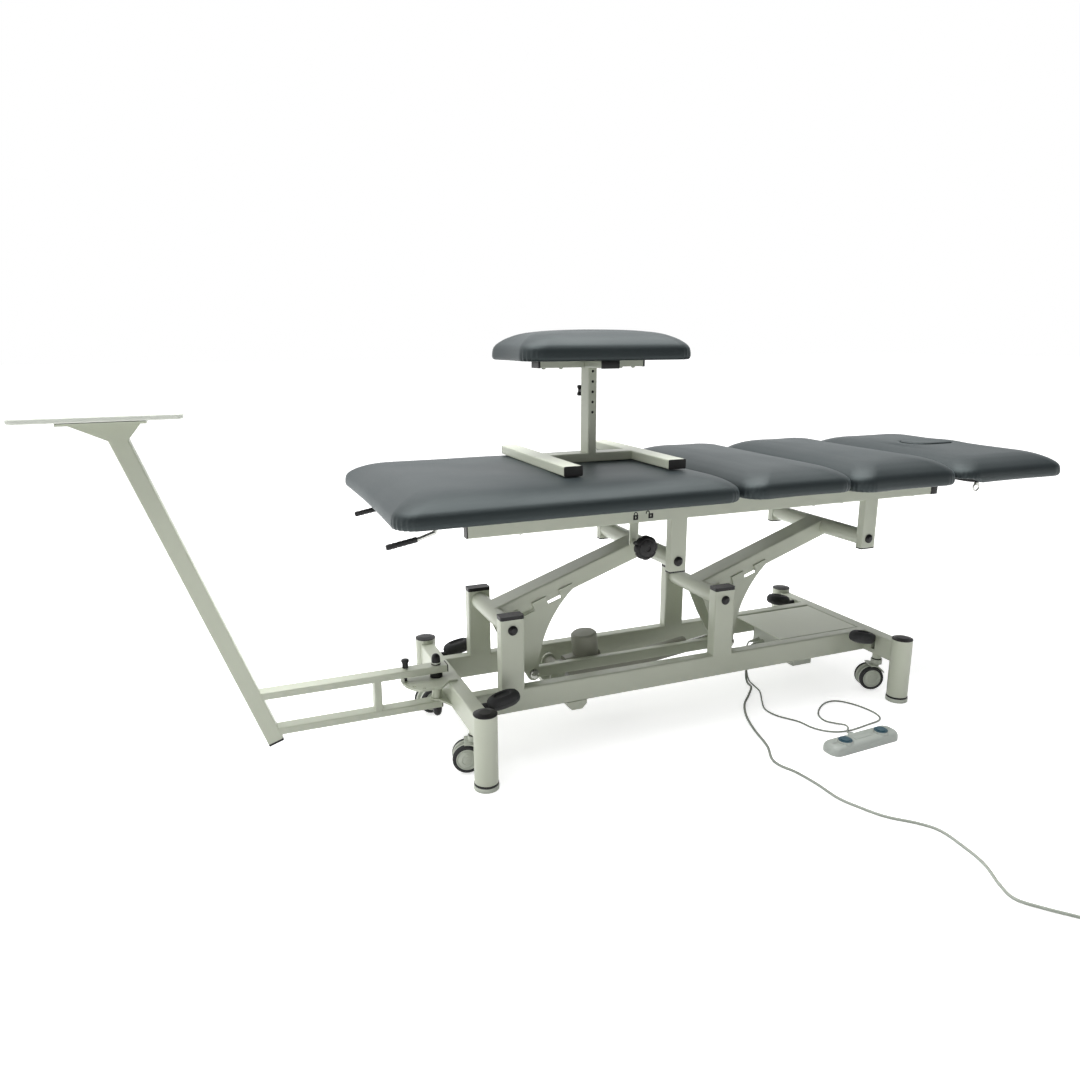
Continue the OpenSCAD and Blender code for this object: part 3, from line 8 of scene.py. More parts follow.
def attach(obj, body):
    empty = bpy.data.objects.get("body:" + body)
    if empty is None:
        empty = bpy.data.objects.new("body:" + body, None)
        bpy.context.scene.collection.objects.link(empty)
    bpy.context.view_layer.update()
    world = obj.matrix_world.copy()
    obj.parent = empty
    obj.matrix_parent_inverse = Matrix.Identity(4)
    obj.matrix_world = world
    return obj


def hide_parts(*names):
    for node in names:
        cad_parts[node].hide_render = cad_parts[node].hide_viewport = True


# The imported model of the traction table. Places below are in the table's own millimetres, x towards
# the head end, y away from the controls' side, z up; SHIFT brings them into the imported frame.
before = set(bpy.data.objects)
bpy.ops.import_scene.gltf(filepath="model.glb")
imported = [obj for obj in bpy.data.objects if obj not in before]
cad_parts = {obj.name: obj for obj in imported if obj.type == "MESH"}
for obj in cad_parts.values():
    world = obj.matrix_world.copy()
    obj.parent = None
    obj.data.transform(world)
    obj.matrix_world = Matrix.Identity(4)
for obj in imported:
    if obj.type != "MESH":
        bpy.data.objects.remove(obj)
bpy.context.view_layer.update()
SHIFT = np.array([202.713216, 78.445286, 0.0])
MM = 0.001
UP = (0, 0, 1)
DOWN = (0, 0, -1)
FRONT = (0, -1, 0)
BACK = (0, 1, 0)
RIGHT = (1, 0, 0)


# Colour and material helpers
def paint(code):
    """A hex colour as linear red, green, blue, alpha."""
    parts = [int(code[i:i + 2], 16) / 255 for i in (1, 3, 5)]
    return [v / 12.92 if v <= 0.04045 else ((v + 0.055) / 1.055) ** 2.4 for v in parts] + [1.0]


def add(tree, kind, inputs=None, **settings):
    """One node of that kind: its settings, and for each input a value or the socket that feeds it."""
    node = tree.nodes.new(kind)
    for key, value in settings.items():
        setattr(node, key, value)
    for key, value in (inputs or {}).items():
        if isinstance(value, bpy.types.NodeSocket):
            tree.links.new(value, node.inputs[key])
        else:
            node.inputs[key].default_value = value
    return node


def blank(name):
    """A material of that name, its emptied node tree, its output node and Object coordinates in metres."""
    material = bpy.data.materials.new(name)
    material.use_nodes = True
    tree = material.node_tree
    tree.nodes.clear()
    output = add(tree, "ShaderNodeOutputMaterial")
    place = add(tree, "ShaderNodeTexCoord")
    return material, tree, output, place.outputs["Object"]


# What a noise cloud swings between, and how far it moves the roughness
CLOUD = {"From Min": 0.3, "From Max": 0.7}
ROUGH_SPREAD = 0.05
PORE_MM = 2.5


def finish(name, colour, roughness, grain=0.0, grain_mm=1.0, tint=0.04, tint_mm=180.0, metallic=0.0,
           ior=1.5, coat=0.0):
    """A surface: its colour times 1 plus or minus tint in a soft cloud tint_mm across, its roughness moved
    by the same cloud, and a noise grain_mm across as bump, as strong as grain."""
    material, tree, output, place = blank(name)
    cloud = add(tree, "ShaderNodeTexNoise", {"Vector": place, "Scale": 1000 / tint_mm, "Detail": 3.0})
    ramp = add(tree, "ShaderNodeMapRange", {"Value": cloud.outputs["Fac"], **CLOUD,
                                            "To Min": 1 - tint, "To Max": 1 + tint})
    tone = add(tree, "ShaderNodeVectorMath", {0: paint(colour)[:3], "Scale": ramp.outputs["Result"]},
               operation="SCALE")
    rough = add(tree, "ShaderNodeMapRange", {"Value": cloud.outputs["Fac"], **CLOUD,
                                             "To Min": roughness - ROUGH_SPREAD,
                                             "To Max": roughness + ROUGH_SPREAD})
    inputs = {"Base Color": tone.outputs["Vector"], "Roughness": rough.outputs["Result"],
              "Metallic": metallic, "IOR": ior, "Coat Weight": coat}
    if grain:
        fine = add(tree, "ShaderNodeTexNoise", {"Vector": place, "Scale": 1000 / grain_mm, "Detail": 2.0})
        bump = add(tree, "ShaderNodeBump", {"Height": fine.outputs["Fac"], "Strength": grain,
                                            "Distance": grain_mm * MM / 4})
        inputs["Normal"] = bump.outputs["Normal"]
    surface = add(tree, "ShaderNodeBsdfPrincipled", inputs)
    tree.links.new(surface.outputs["BSDF"], output.inputs["Surface"])
    return material


def vinyl_cloth(name, colour):
    """Upholstery vinyl: pressed pores, a soft cloud in its colour and roughness, and a faint sheen."""
    material, tree, output, place = blank(name)
    # Real pores are about 1.2 mm apart; they are drawn PORE_MM apart, so that they show
    pores = add(tree, "ShaderNodeTexVoronoi", {"Vector": place, "Scale": 1000 / PORE_MM, "Randomness": 1.0},
                feature="DISTANCE_TO_EDGE")
    cloud = add(tree, "ShaderNodeTexNoise", {"Vector": place, "Scale": 1000 / 260, "Detail": 4.0})
    lift = add(tree, "ShaderNodeMapRange", {"Value": pores.outputs["Distance"], "From Min": 0.0,
                                            "From Max": 0.25})
    bump = add(tree, "ShaderNodeBump", {"Height": lift.outputs["Result"], "Strength": 0.10,
                                        "Distance": 0.0003})
    level = add(tree, "ShaderNodeMapRange", {"Value": cloud.outputs["Fac"], **CLOUD,
                                             "To Min": 0.94, "To Max": 1.06})
    tone = add(tree, "ShaderNodeVectorMath", {0: paint(colour)[:3], "Scale": level.outputs["Result"]},
               operation="SCALE")
    rough = add(tree, "ShaderNodeMapRange", {"Value": cloud.outputs["Fac"], **CLOUD,
                                             "To Min": 0.46, "To Max": 0.54})
    surface = add(tree, "ShaderNodeBsdfPrincipled",
                  {"Base Color": tone.outputs["Vector"], "Roughness": rough.outputs["Result"], "IOR": 1.51,
                   "Sheen Weight": 0.15, "Sheen Roughness": 0.4, "Sheen Tint": paint("#9fb4b8"),
                   "Specular Tint": paint("#e4f4f4"), "Normal": bump.outputs["Normal"]})
    tree.links.new(surface.outputs["BSDF"], output.inputs["Surface"])
    return material


# Finishes; a grain that is finer in real life is drawn about 1 mm across, so that it shows

# Baked powder coat: pale green grey, with an orange peel about 2 mm across and a soft gloss
POWDER = finish("powder_coated_steel", "#babfae", 0.38, grain=0.12, grain_mm=2.2, tint=0.025, coat=0.1)
# The same coat on the cover plate's folded sheet, less glossy, with painted light: its colour a shade lighter
# for the light that reaches the plate under the pads
POWDER_PAINTED_LIGHTER = finish("powder_coat_painted_lighter", "#cacfbe", 0.42, grain=0.12, grain_mm=2.2, tint=0.025, coat=0.1)
# Moulded nylon: near black, with small soft highlights on a spark-eroded grain
NYLON = finish("moulded_black_nylon", "#151515", 0.42, grain=0.15, grain_mm=0.9, tint=0.08, tint_mm=40,
               ior=1.36)
# Moulded rubber: black and matt, a little dusty
RUBBER = finish("black_rubber", "#222324", 0.72, grain=0.3, grain_mm=1.2, tint=0.1, tint_mm=30)
# Coated upholstery cloth: blue black, greyer where it is seen at a low angle
VINYL = vinyl_cloth("upholstery_vinyl", "#1a1f21")
# Plywood in thin black lining: dull, with uneven tone
PLY = finish("vinyl_wrapped_plywood", "#2b2d2f", 0.7, grain=0.2, grain_mm=1.5, tint=0.1, tint_mm=60)
# Moulded housing: a warm mid grey, satin
HOUSING = finish("warm_grey_moulded_housing", "#8a8b7f", 0.5, grain=0.2, grain_mm=1.1, tint=0.04, tint_mm=60)
# Moulded ABS: light grey, even and satin
GREY_ABS = finish("light_grey_abs", "#b9beb2", 0.42, grain=0.12, grain_mm=1.0, tint=0.03, tint_mm=60)
# Bright zinc plate: sharp highlights, slightly cloudy
ZINC = finish("bright_zinc_plate", "#b9bab5", 0.28, grain=0.05, grain_mm=1.5, tint=0.08, tint_mm=12,
              metallic=1.0)
# Laminated board: smooth off-white
LAMINATE = finish("white_laminated_board", "#d3d7cd", 0.35, grain=0.05, grain_mm=3.0, tint=0.015,
                  tint_mm=200)
# Moulded button: deep blue with clear highlights
BLUE = finish("blue_moulded_button", "#32525f", 0.35, grain=0.1, grain_mm=0.9, tint=0.05, tint_mm=15)
# Extruded PVC sheath: mid grey, smooth
PVC = finish("grey_pvc_sheath", "#888d84", 0.45, grain=0.1, grain_mm=0.8, tint=0.04, tint_mm=40)
# The foot switch's ABS: cooler and darker than the other
SWITCH_GREY = finish("cool_grey_abs", "#a6aca6", 0.42, grain=0.12, grain_mm=1.0, tint=0.03, tint_mm=60)
# Screen-printed ink: flat and black
INK = finish("printed_black_ink", "#141515", 0.6, tint=0.05, tint_mm=6, ior=1.36)

node_finish = {
    POWDER: ["base_frame", "swivel_bracket", "arm_left", "arm_right", "tie_bar", "top_frame",
             "slide_carriage", "lock_lever", "traction_frame", "stool_base", "stool_mast"],
    # The cover plate takes the copy of the powder coat painted a shade lighter, as painted light
    POWDER_PAINTED_LIGHTER: ["cover_plate"],
    NYLON: ["base_caps", "top_caps", "lock_knob", "traction_caps", "swivel_bolt", "index_plunger",
            "stool_caps", "stool_plunger"],
    RUBBER: ["platform_gasket", "handle_grips", "castor_plunger_fl", "castor_plunger_fr",
             "castor_plunger_bl", "castor_plunger_br"],
    HOUSING: ["actuator_body"],
    ZINC: ["fin_bolts", "actuator_rod", "pull_handles", "head_hinges", "d_ring_front", "d_ring_back"],
    PLY: ["centre_boards", "leg_board", "head_board"],
    GREY_ABS: ["control_box", "foot_switch", "mains_plug", "levelling_feet", "castor_fork_fl",
               "castor_fork_fr", "castor_fork_bl", "castor_fork_br"],
    BLUE: ["foot_button_up", "foot_button_down"],
}
for material, nodes in node_finish.items():
    for node in nodes:
        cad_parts[node].data.materials.clear()
        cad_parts[node].data.materials.append(material)


# Meshes
def put(name, points, faces, material, body, sharp=38.0):
    """One mesh object from points in the table's millimetres and faces, smooth but for edges of more than
    sharp degrees; it rides on that body."""
    mesh = bpy.data.meshes.new(name)
    mesh.from_pydata(((np.asarray(points) + SHIFT) * MM).tolist(), [], [list(map(int, f)) for f in faces])
    mesh.shade_smooth()
    mesh.set_sharp_from_angle(angle=math.radians(sharp))
    mesh.materials.append(material)
    piece = bpy.data.objects.new(name, mesh)
    bpy.context.scene.collection.objects.link(piece)
    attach(piece, body)
    return piece


def grid(rows, cols, loop=False):
    """Four-sided faces of rows by cols points, closed round each row, and round the rows if loop."""
    r = np.arange(rows if loop else rows - 1)[:, None]
    c = np.arange(cols)[None, :]
    below, above, here, after = r * cols, (r + 1) % rows * cols, c, (c + 1) % cols
    corners = [below + here, below + after, above + after, above + here]
    return np.stack(np.broadcast_arrays(*corners), -1).reshape(-1, 4)


def skin(rings):
    """Points and faces of a closed form: rings joined in turn, with a fan over the first and the last."""
    rows, cols = rings.shape[:2]
    points = np.concatenate([rings.reshape(-1, 3), rings[:1].mean(1), rings[-1:].mean(1)])
    c = np.arange(cols)
    low = np.stack([np.full(cols, rows * cols), (c + 1) % cols, c], -1)
    top = (rows - 1) * cols
    high = np.stack([np.full(cols, rows * cols + 1), top + c, top + (c + 1) % cols], -1)
    return points, grid(rows, cols).tolist() + low.tolist() + high.tolist()


def through(knots, steps):
    """A smooth line through the knots: between two, a cubic whose slope at each knot is half the step
    from the knot before it to the one after."""
    p = np.asarray(knots, float)
    a = np.concatenate([p[:1], p[:-2]])
    b = p[:-1]
    c = p[1:]
    d = np.concatenate([p[2:], p[-1:]])
    t = (np.arange(steps) / steps)[None, :, None]
    a, b, c, d = (q[:, None, :] for q in (a, b, c, d))
    line = b + 0.5 * ((c - a) * t + (2 * a - 5 * b + 4 * c - d) * t ** 2 + (3 * b - a - 3 * c + d) * t ** 3)
    return np.concatenate([line.reshape(-1, p.shape[1]), p[-1:]])


def lathe(profile, turns, centre, axis):
    """Rings of a profile of (radius, height) pairs turned round an axis through centre."""
    w = np.asarray(axis, float) / np.linalg.norm(axis)
    u = np.cross(w, [0.0, 0.0, 1.0] if abs(w[2]) < 0.9 else [0.0, 1.0, 0.0])
    u /= np.linalg.norm(u)
    v = np.cross(w, u)
    a = 2 * np.pi * np.arange(turns) / turns
    r, h = np.asarray(profile, float).T
    round_part = np.cos(a)[:, None] * u + np.sin(a)[:, None] * v
    return np.asarray(centre, float) + r[:, None, None] * round_part[None] + h[:, None, None] * w


def sweep(path, radius, sides):
    """Rings of a round cord along a path that never stands upright: at each point, a circle across the
    line, set out from the level direction beside it."""
    p = np.asarray(path, float)
    ahead = np.concatenate([p[1:], p[-1:]])
    behind = np.concatenate([p[:1], p[:-1]])
    t = ahead - behind
    t /= np.linalg.norm(t, axis=1)[:, None]
    side = np.cross(t, [0.0, 0.0, 1.0])
    side /= np.linalg.norm(side, axis=1)[:, None]
    rise = np.cross(side, t)
    a = 2 * np.pi * np.arange(sides) / sides
    circle = np.cos(a)[None, :, None] * side[:, None] + np.sin(a)[None, :, None] * rise[:, None]
    return p[:, None] + radius * circle


def superoval(half_l, half_w, power, sides):
    """Points of an oval: the cosine and the sine of each angle, each raised to 2 over the power with its
    sign kept, times the half length and the half width. Power 2 is an ellipse, a high one nearly a box."""
    a = 2 * np.pi * np.arange(sides) / sides
    c, s = np.cos(a), np.sin(a)
    return np.stack([half_l * np.sign(c) * np.abs(c) ** (2 / power),
                     half_w * np.sign(s) * np.abs(s) ** (2 / power)], -1)


def stack_of(outline, profile):
    """Rings of a flat outline: for each pair of the profile, the outline times the share, at the height."""
    share, height = np.asarray(profile, float).T
    flat = share[:, None, None] * outline[None]
    return np.concatenate([flat, np.broadcast_to(height[:, None, None], flat.shape[:2] + (1,))], -1)


def place(rings, centre, along=RIGHT, up=UP):
    """The rings with their z turned to up, their x as near to along as that allows, moved to centre."""
    z = np.asarray(up, float) / np.linalg.norm(up)
    x = np.asarray(along, float) - z * np.dot(along, z)
    x /= np.linalg.norm(x)
    return rings @ np.stack([x, np.cross(z, x), z]) + np.asarray(centre, float)


def join(forms):
    """Points and faces of several closed forms as one mesh."""
    starts = np.cumsum([0] + [len(p) for p, f in forms])
    faces = [[i + int(n) for i in face] for (p, f), n in zip(forms, starts) for face in f]
    return np.concatenate([p for p, f in forms]), faces


def hoop(profile, turns, centre, axis):
    """Points and faces of a closed ring: a profile that ends where it starts, turned round an axis."""
    rings = lathe(profile, turns, centre, axis)
    return rings.reshape(-1, 3), grid(*rings.shape[:2], loop=True).tolist()


# Cords, on the same points as the solids' routes
LEAD_D = 7.0
LEAD_Z = 4.0
CABLE_D = 5.0
LEAD_ROUTE = [
    [350, 10, 125], [338, 10, 122], [328, 10, 108], [322, 9, 70], [318, 6, 24], [312, -12, 5],
    [303, -44, 4], [259, -91, 4], [208, -141, 4], [166, -208, 4], [134, -289, 4], [108, -381, 4],
    [76, -443, 4], [72, -480, 4], [88, -525, 4], [98, -590, 4], [101, -660, 4], [118, -710, 4],
    [147, -767, 4], [194, -816, 4], [218, -858, 4], [216, -922, 4], [205, -983, 4],
    [176, -1043, 4], [165, -1086, 4], [191, -1126, 4], [232, -1172, 4], [256, -1201, 4],
    [275, -1224, 4]]
CABLE_ROUTE = [
    [350, 34, 125], [342, 34, 122], [335, 33, 106], [334, 30, 66], [332, 20, 22], [328, 0, 4],
    [322, -27, 3], [309, -80, 3], [273, -139, 3], [246, -190, 3], [250, -240, 3], [283, -295, 3],
    [296, -346, 3], [327, -382, 3], [376, -396, 3], [451, -388, 3], [510, -375, 3], [528, -332, 3],
    [512, -266, 3], [478, -226, 3], [428, -231, 3], [372, -275, 3], [357, -318, 3],
    [372, -346, 4], [384, -372, 8], [377, -392, 10], [364, -404, 12], [354, -413, 13],
    [351.2, -425, 13]]
COIL_TURNS = 6
COIL_PITCH = 7.6
COIL_MEAN_R = 38.5
COIL_RINGS = 48
COIL_START = np.array([275.0, -1224.0])
COIL_HEADING = np.array([0.64, -0.77])
COIL_TAIL = 28.0


def coil_line():
    """The coil's line: a flat spiral in to its middle turn and out again, a cord's width apart, that
    climbs to a second layer in the half turn where it reverses, and a short straight tail."""
    out_r = COIL_MEAN_R + COIL_PITCH * COIL_TURNS / 4
    head = COIL_HEADING / np.linalg.norm(COIL_HEADING)
    middle = COIL_START - out_r * np.array([-head[1], head[0]])
    first = math.atan2(COIL_HEADING[0], -COIL_HEADING[1])
    t = np.arange(COIL_TURNS * COIL_RINGS + 1) / COIL_RINGS
    r = out_r - COIL_PITCH * np.minimum(t, COIL_TURNS - t)
    a = first - 2 * np.pi * t
    s = np.clip((t - COIL_TURNS / 2 + 0.25) * 2, 0, 1)
    z = LEAD_Z + COIL_PITCH * s * s * (3 - 2 * s)
    turns = np.stack([middle[0] + r * np.cos(a), middle[1] + r * np.sin(a), z], -1)
    tail = turns[-1] + np.array([head[0], head[1], 0.0]) * COIL_TAIL * np.array([[0.5], [1.0]])
    return np.concatenate([turns, tail])


lead_path = np.concatenate([through(LEAD_ROUTE, 8)[:-1], coil_line()])
cable_path = through(CABLE_ROUTE, 8)
lead = put("mains_cord", *skin(sweep(lead_path, LEAD_D / 2, 14)), PVC, "base")
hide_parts("mains_lead", "mains_coil")
cable = put("foot_switch_cord", *skin(sweep(cable_path, CABLE_D / 2, 12)), PVC, "base")
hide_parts("foot_cable")

# Cushions: foam on a board, wrapped in vinyl that folds under the board's edge
PIVOT_Z = 350
ARM_L = 472
ARM_ANGLE = math.radians(19)
TOP_Z = PIVOT_Z + ARM_L * math.sin(ARM_ANGLE) + 166
BOARD_T = 12.0
FOAM_H = 68.0
CUSHION_W = 694.0
ARC_STEPS = 30
SIDE_STEPS = 44


def rounded_rows(half_l, half_w, radius, height, pull):
    """Rows of rounded rectangles, one for each entry of the four arrays: an arc at each corner, and
    sides between them that pull in by half a sine. Gives the points, and for each column whether it is
    on a corner's arc and its share of the way along that arc."""
    q = np.arange(4)
    s = np.arange(ARC_STEPS + 1) / ARC_STEPS
    angle = np.radians(90 * q[:, None] + 90 * s[None])
    sx = np.array([1, -1, -1, 1])
    sy = np.array([1, 1, -1, -1])
    x = sx[:, None] * (half_l - radius)[:, None, None] + radius[:, None, None] * np.cos(angle)
    y = sy[:, None] * (half_w - radius)[:, None, None] + radius[:, None, None] * np.sin(angle)
    arc = np.stack([x, y], -1)
    t = (np.arange(1, SIDE_STEPS) / SIDE_STEPS)[:, None]
    start = arc[:, :, -1:]
    end = np.roll(arc, -1, axis=1)[:, :, :1]
    way = end - start
    inward = np.stack([-way[..., 1], way[..., 0]], -1) / np.linalg.norm(way, axis=-1, keepdims=True)
    side = start + way * t + inward * np.asarray(pull)[:, None, None, None] * np.sin(np.pi * t)
    flat = np.concatenate([arc, side], axis=2).reshape(len(height), -1, 2)
    z = np.broadcast_to(height[:, None, None], flat.shape[:2] + (1,))
    on_arc = np.tile(np.concatenate([np.ones(ARC_STEPS + 1), np.zeros(SIDE_STEPS - 1)]), 4)
    along = np.tile(np.concatenate([s, np.zeros(SIDE_STEPS - 1)]), 4)
    return np.concatenate([flat, z], -1), on_arc, along


# Wrapped edge, from the fold under the board up the long slope: inset, and height over the board's top
EDGE = np.array([
    [14, -11.7], [9, -11.9], [5, -11.6], [2.2, -9.2], [0.6, -5], [0, 0], [0.2, 6], [0.8, 12], [2.4, 19],
    [5.5, 25], [10, 30.5], [18, 37], [27, 43], [38, 48.5], [54, 55], [74, 60], [95, 63]])
# Crown: share of the last row's size, and share of the rise that is left
CROWN = np.array([[0.86, 0.37], [0.7, 0.62], [0.5, 0.83], [0.3, 0.94], [0.12, 0.99], [0.02, 1.0]])
SLOPE_FROM = 15
MOST_INSET = 0.46
GATHER_TOP = 0.42
GATHER_SPAN = 0.5
FOLD_WAVES = 6
FOLD_DEPTH = 3.0
SWAY = 0.35


def cushion(x0, l, w, h, z0, seed, radius=52.0, slope=1.0, pull=5.0):
    """A foam pad in vinyl: rows of rounded rectangles that follow the edge's line up from the fold
    under the board, then shrink to the crown. Low down the corners are gathered in folds: a row moves
    in by up to 3 mm in a wave along the arc. The top sways by under a millimetre in three slow sines."""
    edge = through(EDGE, 5)
    inset = np.where(edge[:, 1] > SLOPE_FROM, edge[:, 0] * slope, edge[:, 0])
    inset = np.minimum(inset, MOST_INSET * min(l, w))
    rise = np.where(edge[:, 1] > 0, edge[:, 1] * h / FOAM_H, edge[:, 1])
    shoulder = rise[-1]
    crown = through(CROWN, 4)
    half_l = np.concatenate([l / 2 - inset, (l / 2 - inset[-1]) * crown[:, 0]])
    half_w = np.concatenate([w / 2 - inset, (w / 2 - inset[-1]) * crown[:, 0]])
    height = np.concatenate([rise, shoulder + (h - shoulder) * crown[:, 1]])
    edge_r = np.clip(radius - 0.1 * inset, 20, radius)
    r = np.concatenate([edge_r, edge_r[-1] * crown[:, 0]])
    drawn_in = np.concatenate([np.full(len(rise), pull), pull * crown[:, 0]])
    rings, on_arc, along = rounded_rows(half_l, half_w, r, height, drawn_in)
    low = np.clip((GATHER_TOP * FOAM_H - height) / (GATHER_SPAN * FOAM_H), 0, 1)
    low = low * low * (3 - 2 * low)
    rng = np.random.default_rng(seed)
    shift = rng.uniform(0, 1, 4)
    corner = np.repeat(np.arange(4), ARC_STEPS + SIDE_STEPS)
    wave = 0.5 - 0.5 * np.cos(2 * np.pi * (FOLD_WAVES * along + shift[corner]))
    fold = FOLD_DEPTH * wave * on_arc * np.sin(np.pi * along) ** 0.5
    outward = rings.copy()
    outward[..., 2] = 0
    outward /= np.maximum(np.linalg.norm(outward, axis=-1, keepdims=True), 1e-6)
    rings = rings - outward * (low[:, None] * fold[None])[..., None]
    x, y = rings[..., 0], rings[..., 1]
    above = np.clip(height / h, 0, 1)[:, None]
    phase = rng.uniform(0, 6.28, 3)
    sway = (np.sin(x / 71 + y / 143 + phase[0]) + np.sin(y / 83 - x / 190 + phase[1]) +
            0.6 * np.sin(x / 37 + y / 41 + phase[2]))
    rings[..., 2] += SWAY * sway * above ** 2
    rings += np.array([x0 + l / 2, 0.0, z0])
    return rings


foam_z = TOP_Z + BOARD_T
# The leg pad and the seat pad show a narrower side than the back pad: their fold lies higher
for name, body, x0, l, fold_up, h, node, seed in [
        ("leg_pad", "leg_section", -872.0, 897.0, 8.0, 60.0, "leg_cushion", 3),
        ("seat_pad", "top", 33.0, 350.0, 9.0, 60.0, "seat_cushion", 5),
        ("back_pad", "top", 391.0, 371.0, 1.0, 69.0, "back_cushion", 7)]:
    pad = put(name, *skin(cushion(x0, l, CUSHION_W, h, foam_z + fold_up, seed)), VINYL, body, 60)
    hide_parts(node)

# Head section's pad: a cushion up to near its crown, then rows that run in to the breathing hole's lip
HEAD_X0 = 770.0
HEAD_L = 425.0
HEAD_H = 63.0
FACE_X = 980.0
FACE_L = 175.0
FACE_W = 105.0
HINGE_END_X = 845
HINGE_FADE = 32
HINGE_RISE = 12.4
FOLD_TOP = 4
FOLD_FADE = 10
OUTER_ROWS = 78
rings = cushion(HEAD_X0, HEAD_L, CUSHION_W, HEAD_H, foam_z, 11)
# The fold rises over the hinges, to leave room for the tilt
near_hinge = np.clip((HINGE_END_X - rings[..., 0]) / HINGE_FADE, 0, 1)
low_down = np.clip((foam_z + FOLD_TOP - rings[..., 2]) / FOLD_FADE, 0, 1)
rings[..., 2] += HINGE_RISE * near_hinge * low_down
outer = rings[:OUTER_ROWS]


def stadium_ring(columns, half_l, half_w, centre, z):
    """Points of a stadium round centre at height z, one in the direction of each column: half_w over the
    direction's y on its straight sides, and where the ray meets the end's circle past them."""
    d = columns[:, :2] - centre
    d /= np.linalg.norm(d, axis=1)[:, None]
    flat = half_l - half_w
    reach = np.where(np.abs(d[:, 1]) > 1e-9, half_w / np.maximum(np.abs(d[:, 1]), 1e-9), 1e9)
    on_side = reach * np.abs(d[:, 0]) <= flat
    bx = flat * np.abs(d[:, 0])
    end = bx + np.sqrt(np.maximum(bx * bx - flat * flat + half_w * half_w, 0))
    return np.concatenate([centre + d * np.where(on_side, reach, end)[:, None],
                           np.full((len(d), 1), z)], 1)


centre = np.array([FACE_X, 0.0])
last = outer[-1]
crown_z = foam_z + HEAD_H
lip = [stadium_ring(last, FACE_L / 2 + g, FACE_W / 2 + g, centre, z) for g, z in (
    (20.0, crown_z), (10.0, crown_z - 0.3), (4.0, crown_z - 2.0), (1.4, crown_z - 5.0),
    (0.8, crown_z - 12.0), (0.6, foam_z), (0.6, TOP_Z + 1.0))]
between = []
for t in np.linspace(0, 1, 12)[1:-1]:
    ring = last + (lip[0] - last) * t
    ring[:, 2] = last[:, 2] + (crown_z - last[:, 2]) * math.sin(math.pi * t / 2)
    between.append(ring)
shell = np.stack(list(outer) + between + lip)
head_pad = put("head_pad", shell.reshape(-1, 3), grid(*shell.shape[:2], loop=True).tolist(), VINYL,
               "head_section", 60)
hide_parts("head_cushion")

# Plug of the breathing hole: a stadium with a soft crown and a rolled edge
PLUG = [(2.0, TOP_Z + 0.3), (0.2, TOP_Z + 1.5), (0.0, foam_z), (0.0, crown_z - 6), (0.4, crown_z - 1),
        (2.5, crown_z + 1.8), (8.0, crown_z + 3.4), (18.0, crown_z + 4.0), (34.0, crown_z + 4.0),
        (48.0, crown_z + 4.0)]
turn_angle = 2 * np.pi * np.arange(160) / 160
directions = np.stack([np.cos(turn_angle), np.sin(turn_angle)], -1)
plug_rings = np.stack([stadium_ring(directions * 400 + centre, FACE_L / 2 - g, FACE_W / 2 - g, centre, z)
                       for g, z in through(PLUG, 4)])
face = put("face_hole_plug", *skin(plug_rings), VINYL, "face_plug", 60)
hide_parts("face_plug")

# Stool's pad, on its frame, mast and foot, each with SEATING between it and the next
STOOL_X = -247.0
STOOL_Y = 20.0
SEATING = 0.3
STOOL_FOOT_H = 25
MAST_H = 230
PAD_FRAME_H = 20
PAD_Z = foam_z + FOAM_H + SEATING + STOOL_FOOT_H + MAST_H + SEATING + PAD_FRAME_H
STOOL_L = 488.0
STOOL_W = 300.0
STOOL_H = 78.0
FOLD_H = 11.9
stool_rings = cushion(-240.0, STOOL_L, STOOL_W, STOOL_H, 0.0, 17, slope=0.95)
stool_rings[..., 2] = np.maximum(stool_rings[..., 2] + FOLD_H, 0.0) * STOOL_H / (STOOL_H + FOLD_H)
stool_rings += np.array([STOOL_X, STOOL_Y, PAD_Z])
stool_top = put("stool_top", *skin(stool_rings), VINYL, "stool_mast", 60)
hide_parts("stool_pad")

# Castor wheels: light hub discs with turned rings, and dark treads
WHEELS = {"fl": (-662.0, -192.0, 165), "fr": (662.0, -192.0, 160), "bl": (-662.0, 192.0, -165),
          "br": (662.0, 192.0, -170)}
TRAIL = 20
AXLE_Z = 42.5
DISC = [(0.5, 5.0), (7, 5.0), (8.5, 6.0), (34.8, 6.0), (36.0, 6.6), (36.4, 7.8), (36.4, 13.3), (28.4, 13.4),
        (28.4, 24.0), (27.4, 25.2), (25.6, 25.2), (24.6, 24.2), (23.2, 24.0), (22.0, 24.8), (19.0, 26.0),
        (14.0, 27.4), (12.8, 26.6), (11.4, 26.6), (10.6, 27.6), (7.0, 28.0), (0.5, 28.2)]
TREAD = [(28.5, 13.5), (36.2, 13.5), (37.2, 14.2), (37.4, 15.4), (37.4, 21.0), (36.6, 23.4), (34.5, 24.8),
         (31.0, 25.2), (28.5, 24.8)]
for key, (cx, cy, yaw) in WHEELS.items():
    a = math.radians(yaw)
    axle = (cx + TRAIL * math.cos(a), cy + TRAIL * math.sin(a), AXLE_Z)
    sideways = np.array([-math.sin(a), math.cos(a), 0.0])
    discs = [skin(lathe(DISC, 64, axle, sideways * s)) for s in (1, -1)]
    hubs = put("castor_hubs_" + key, *join(discs), GREY_ABS, "castor_wheels_" + key)
    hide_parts("castor_wheels_" + key)
    tyres = [hoop(TREAD, 64, axle, sideways * s) for s in (1, -1)]
    treads = put("castor_treads_" + key, *join(tyres), RUBBER, "castor_wheels_" + key)

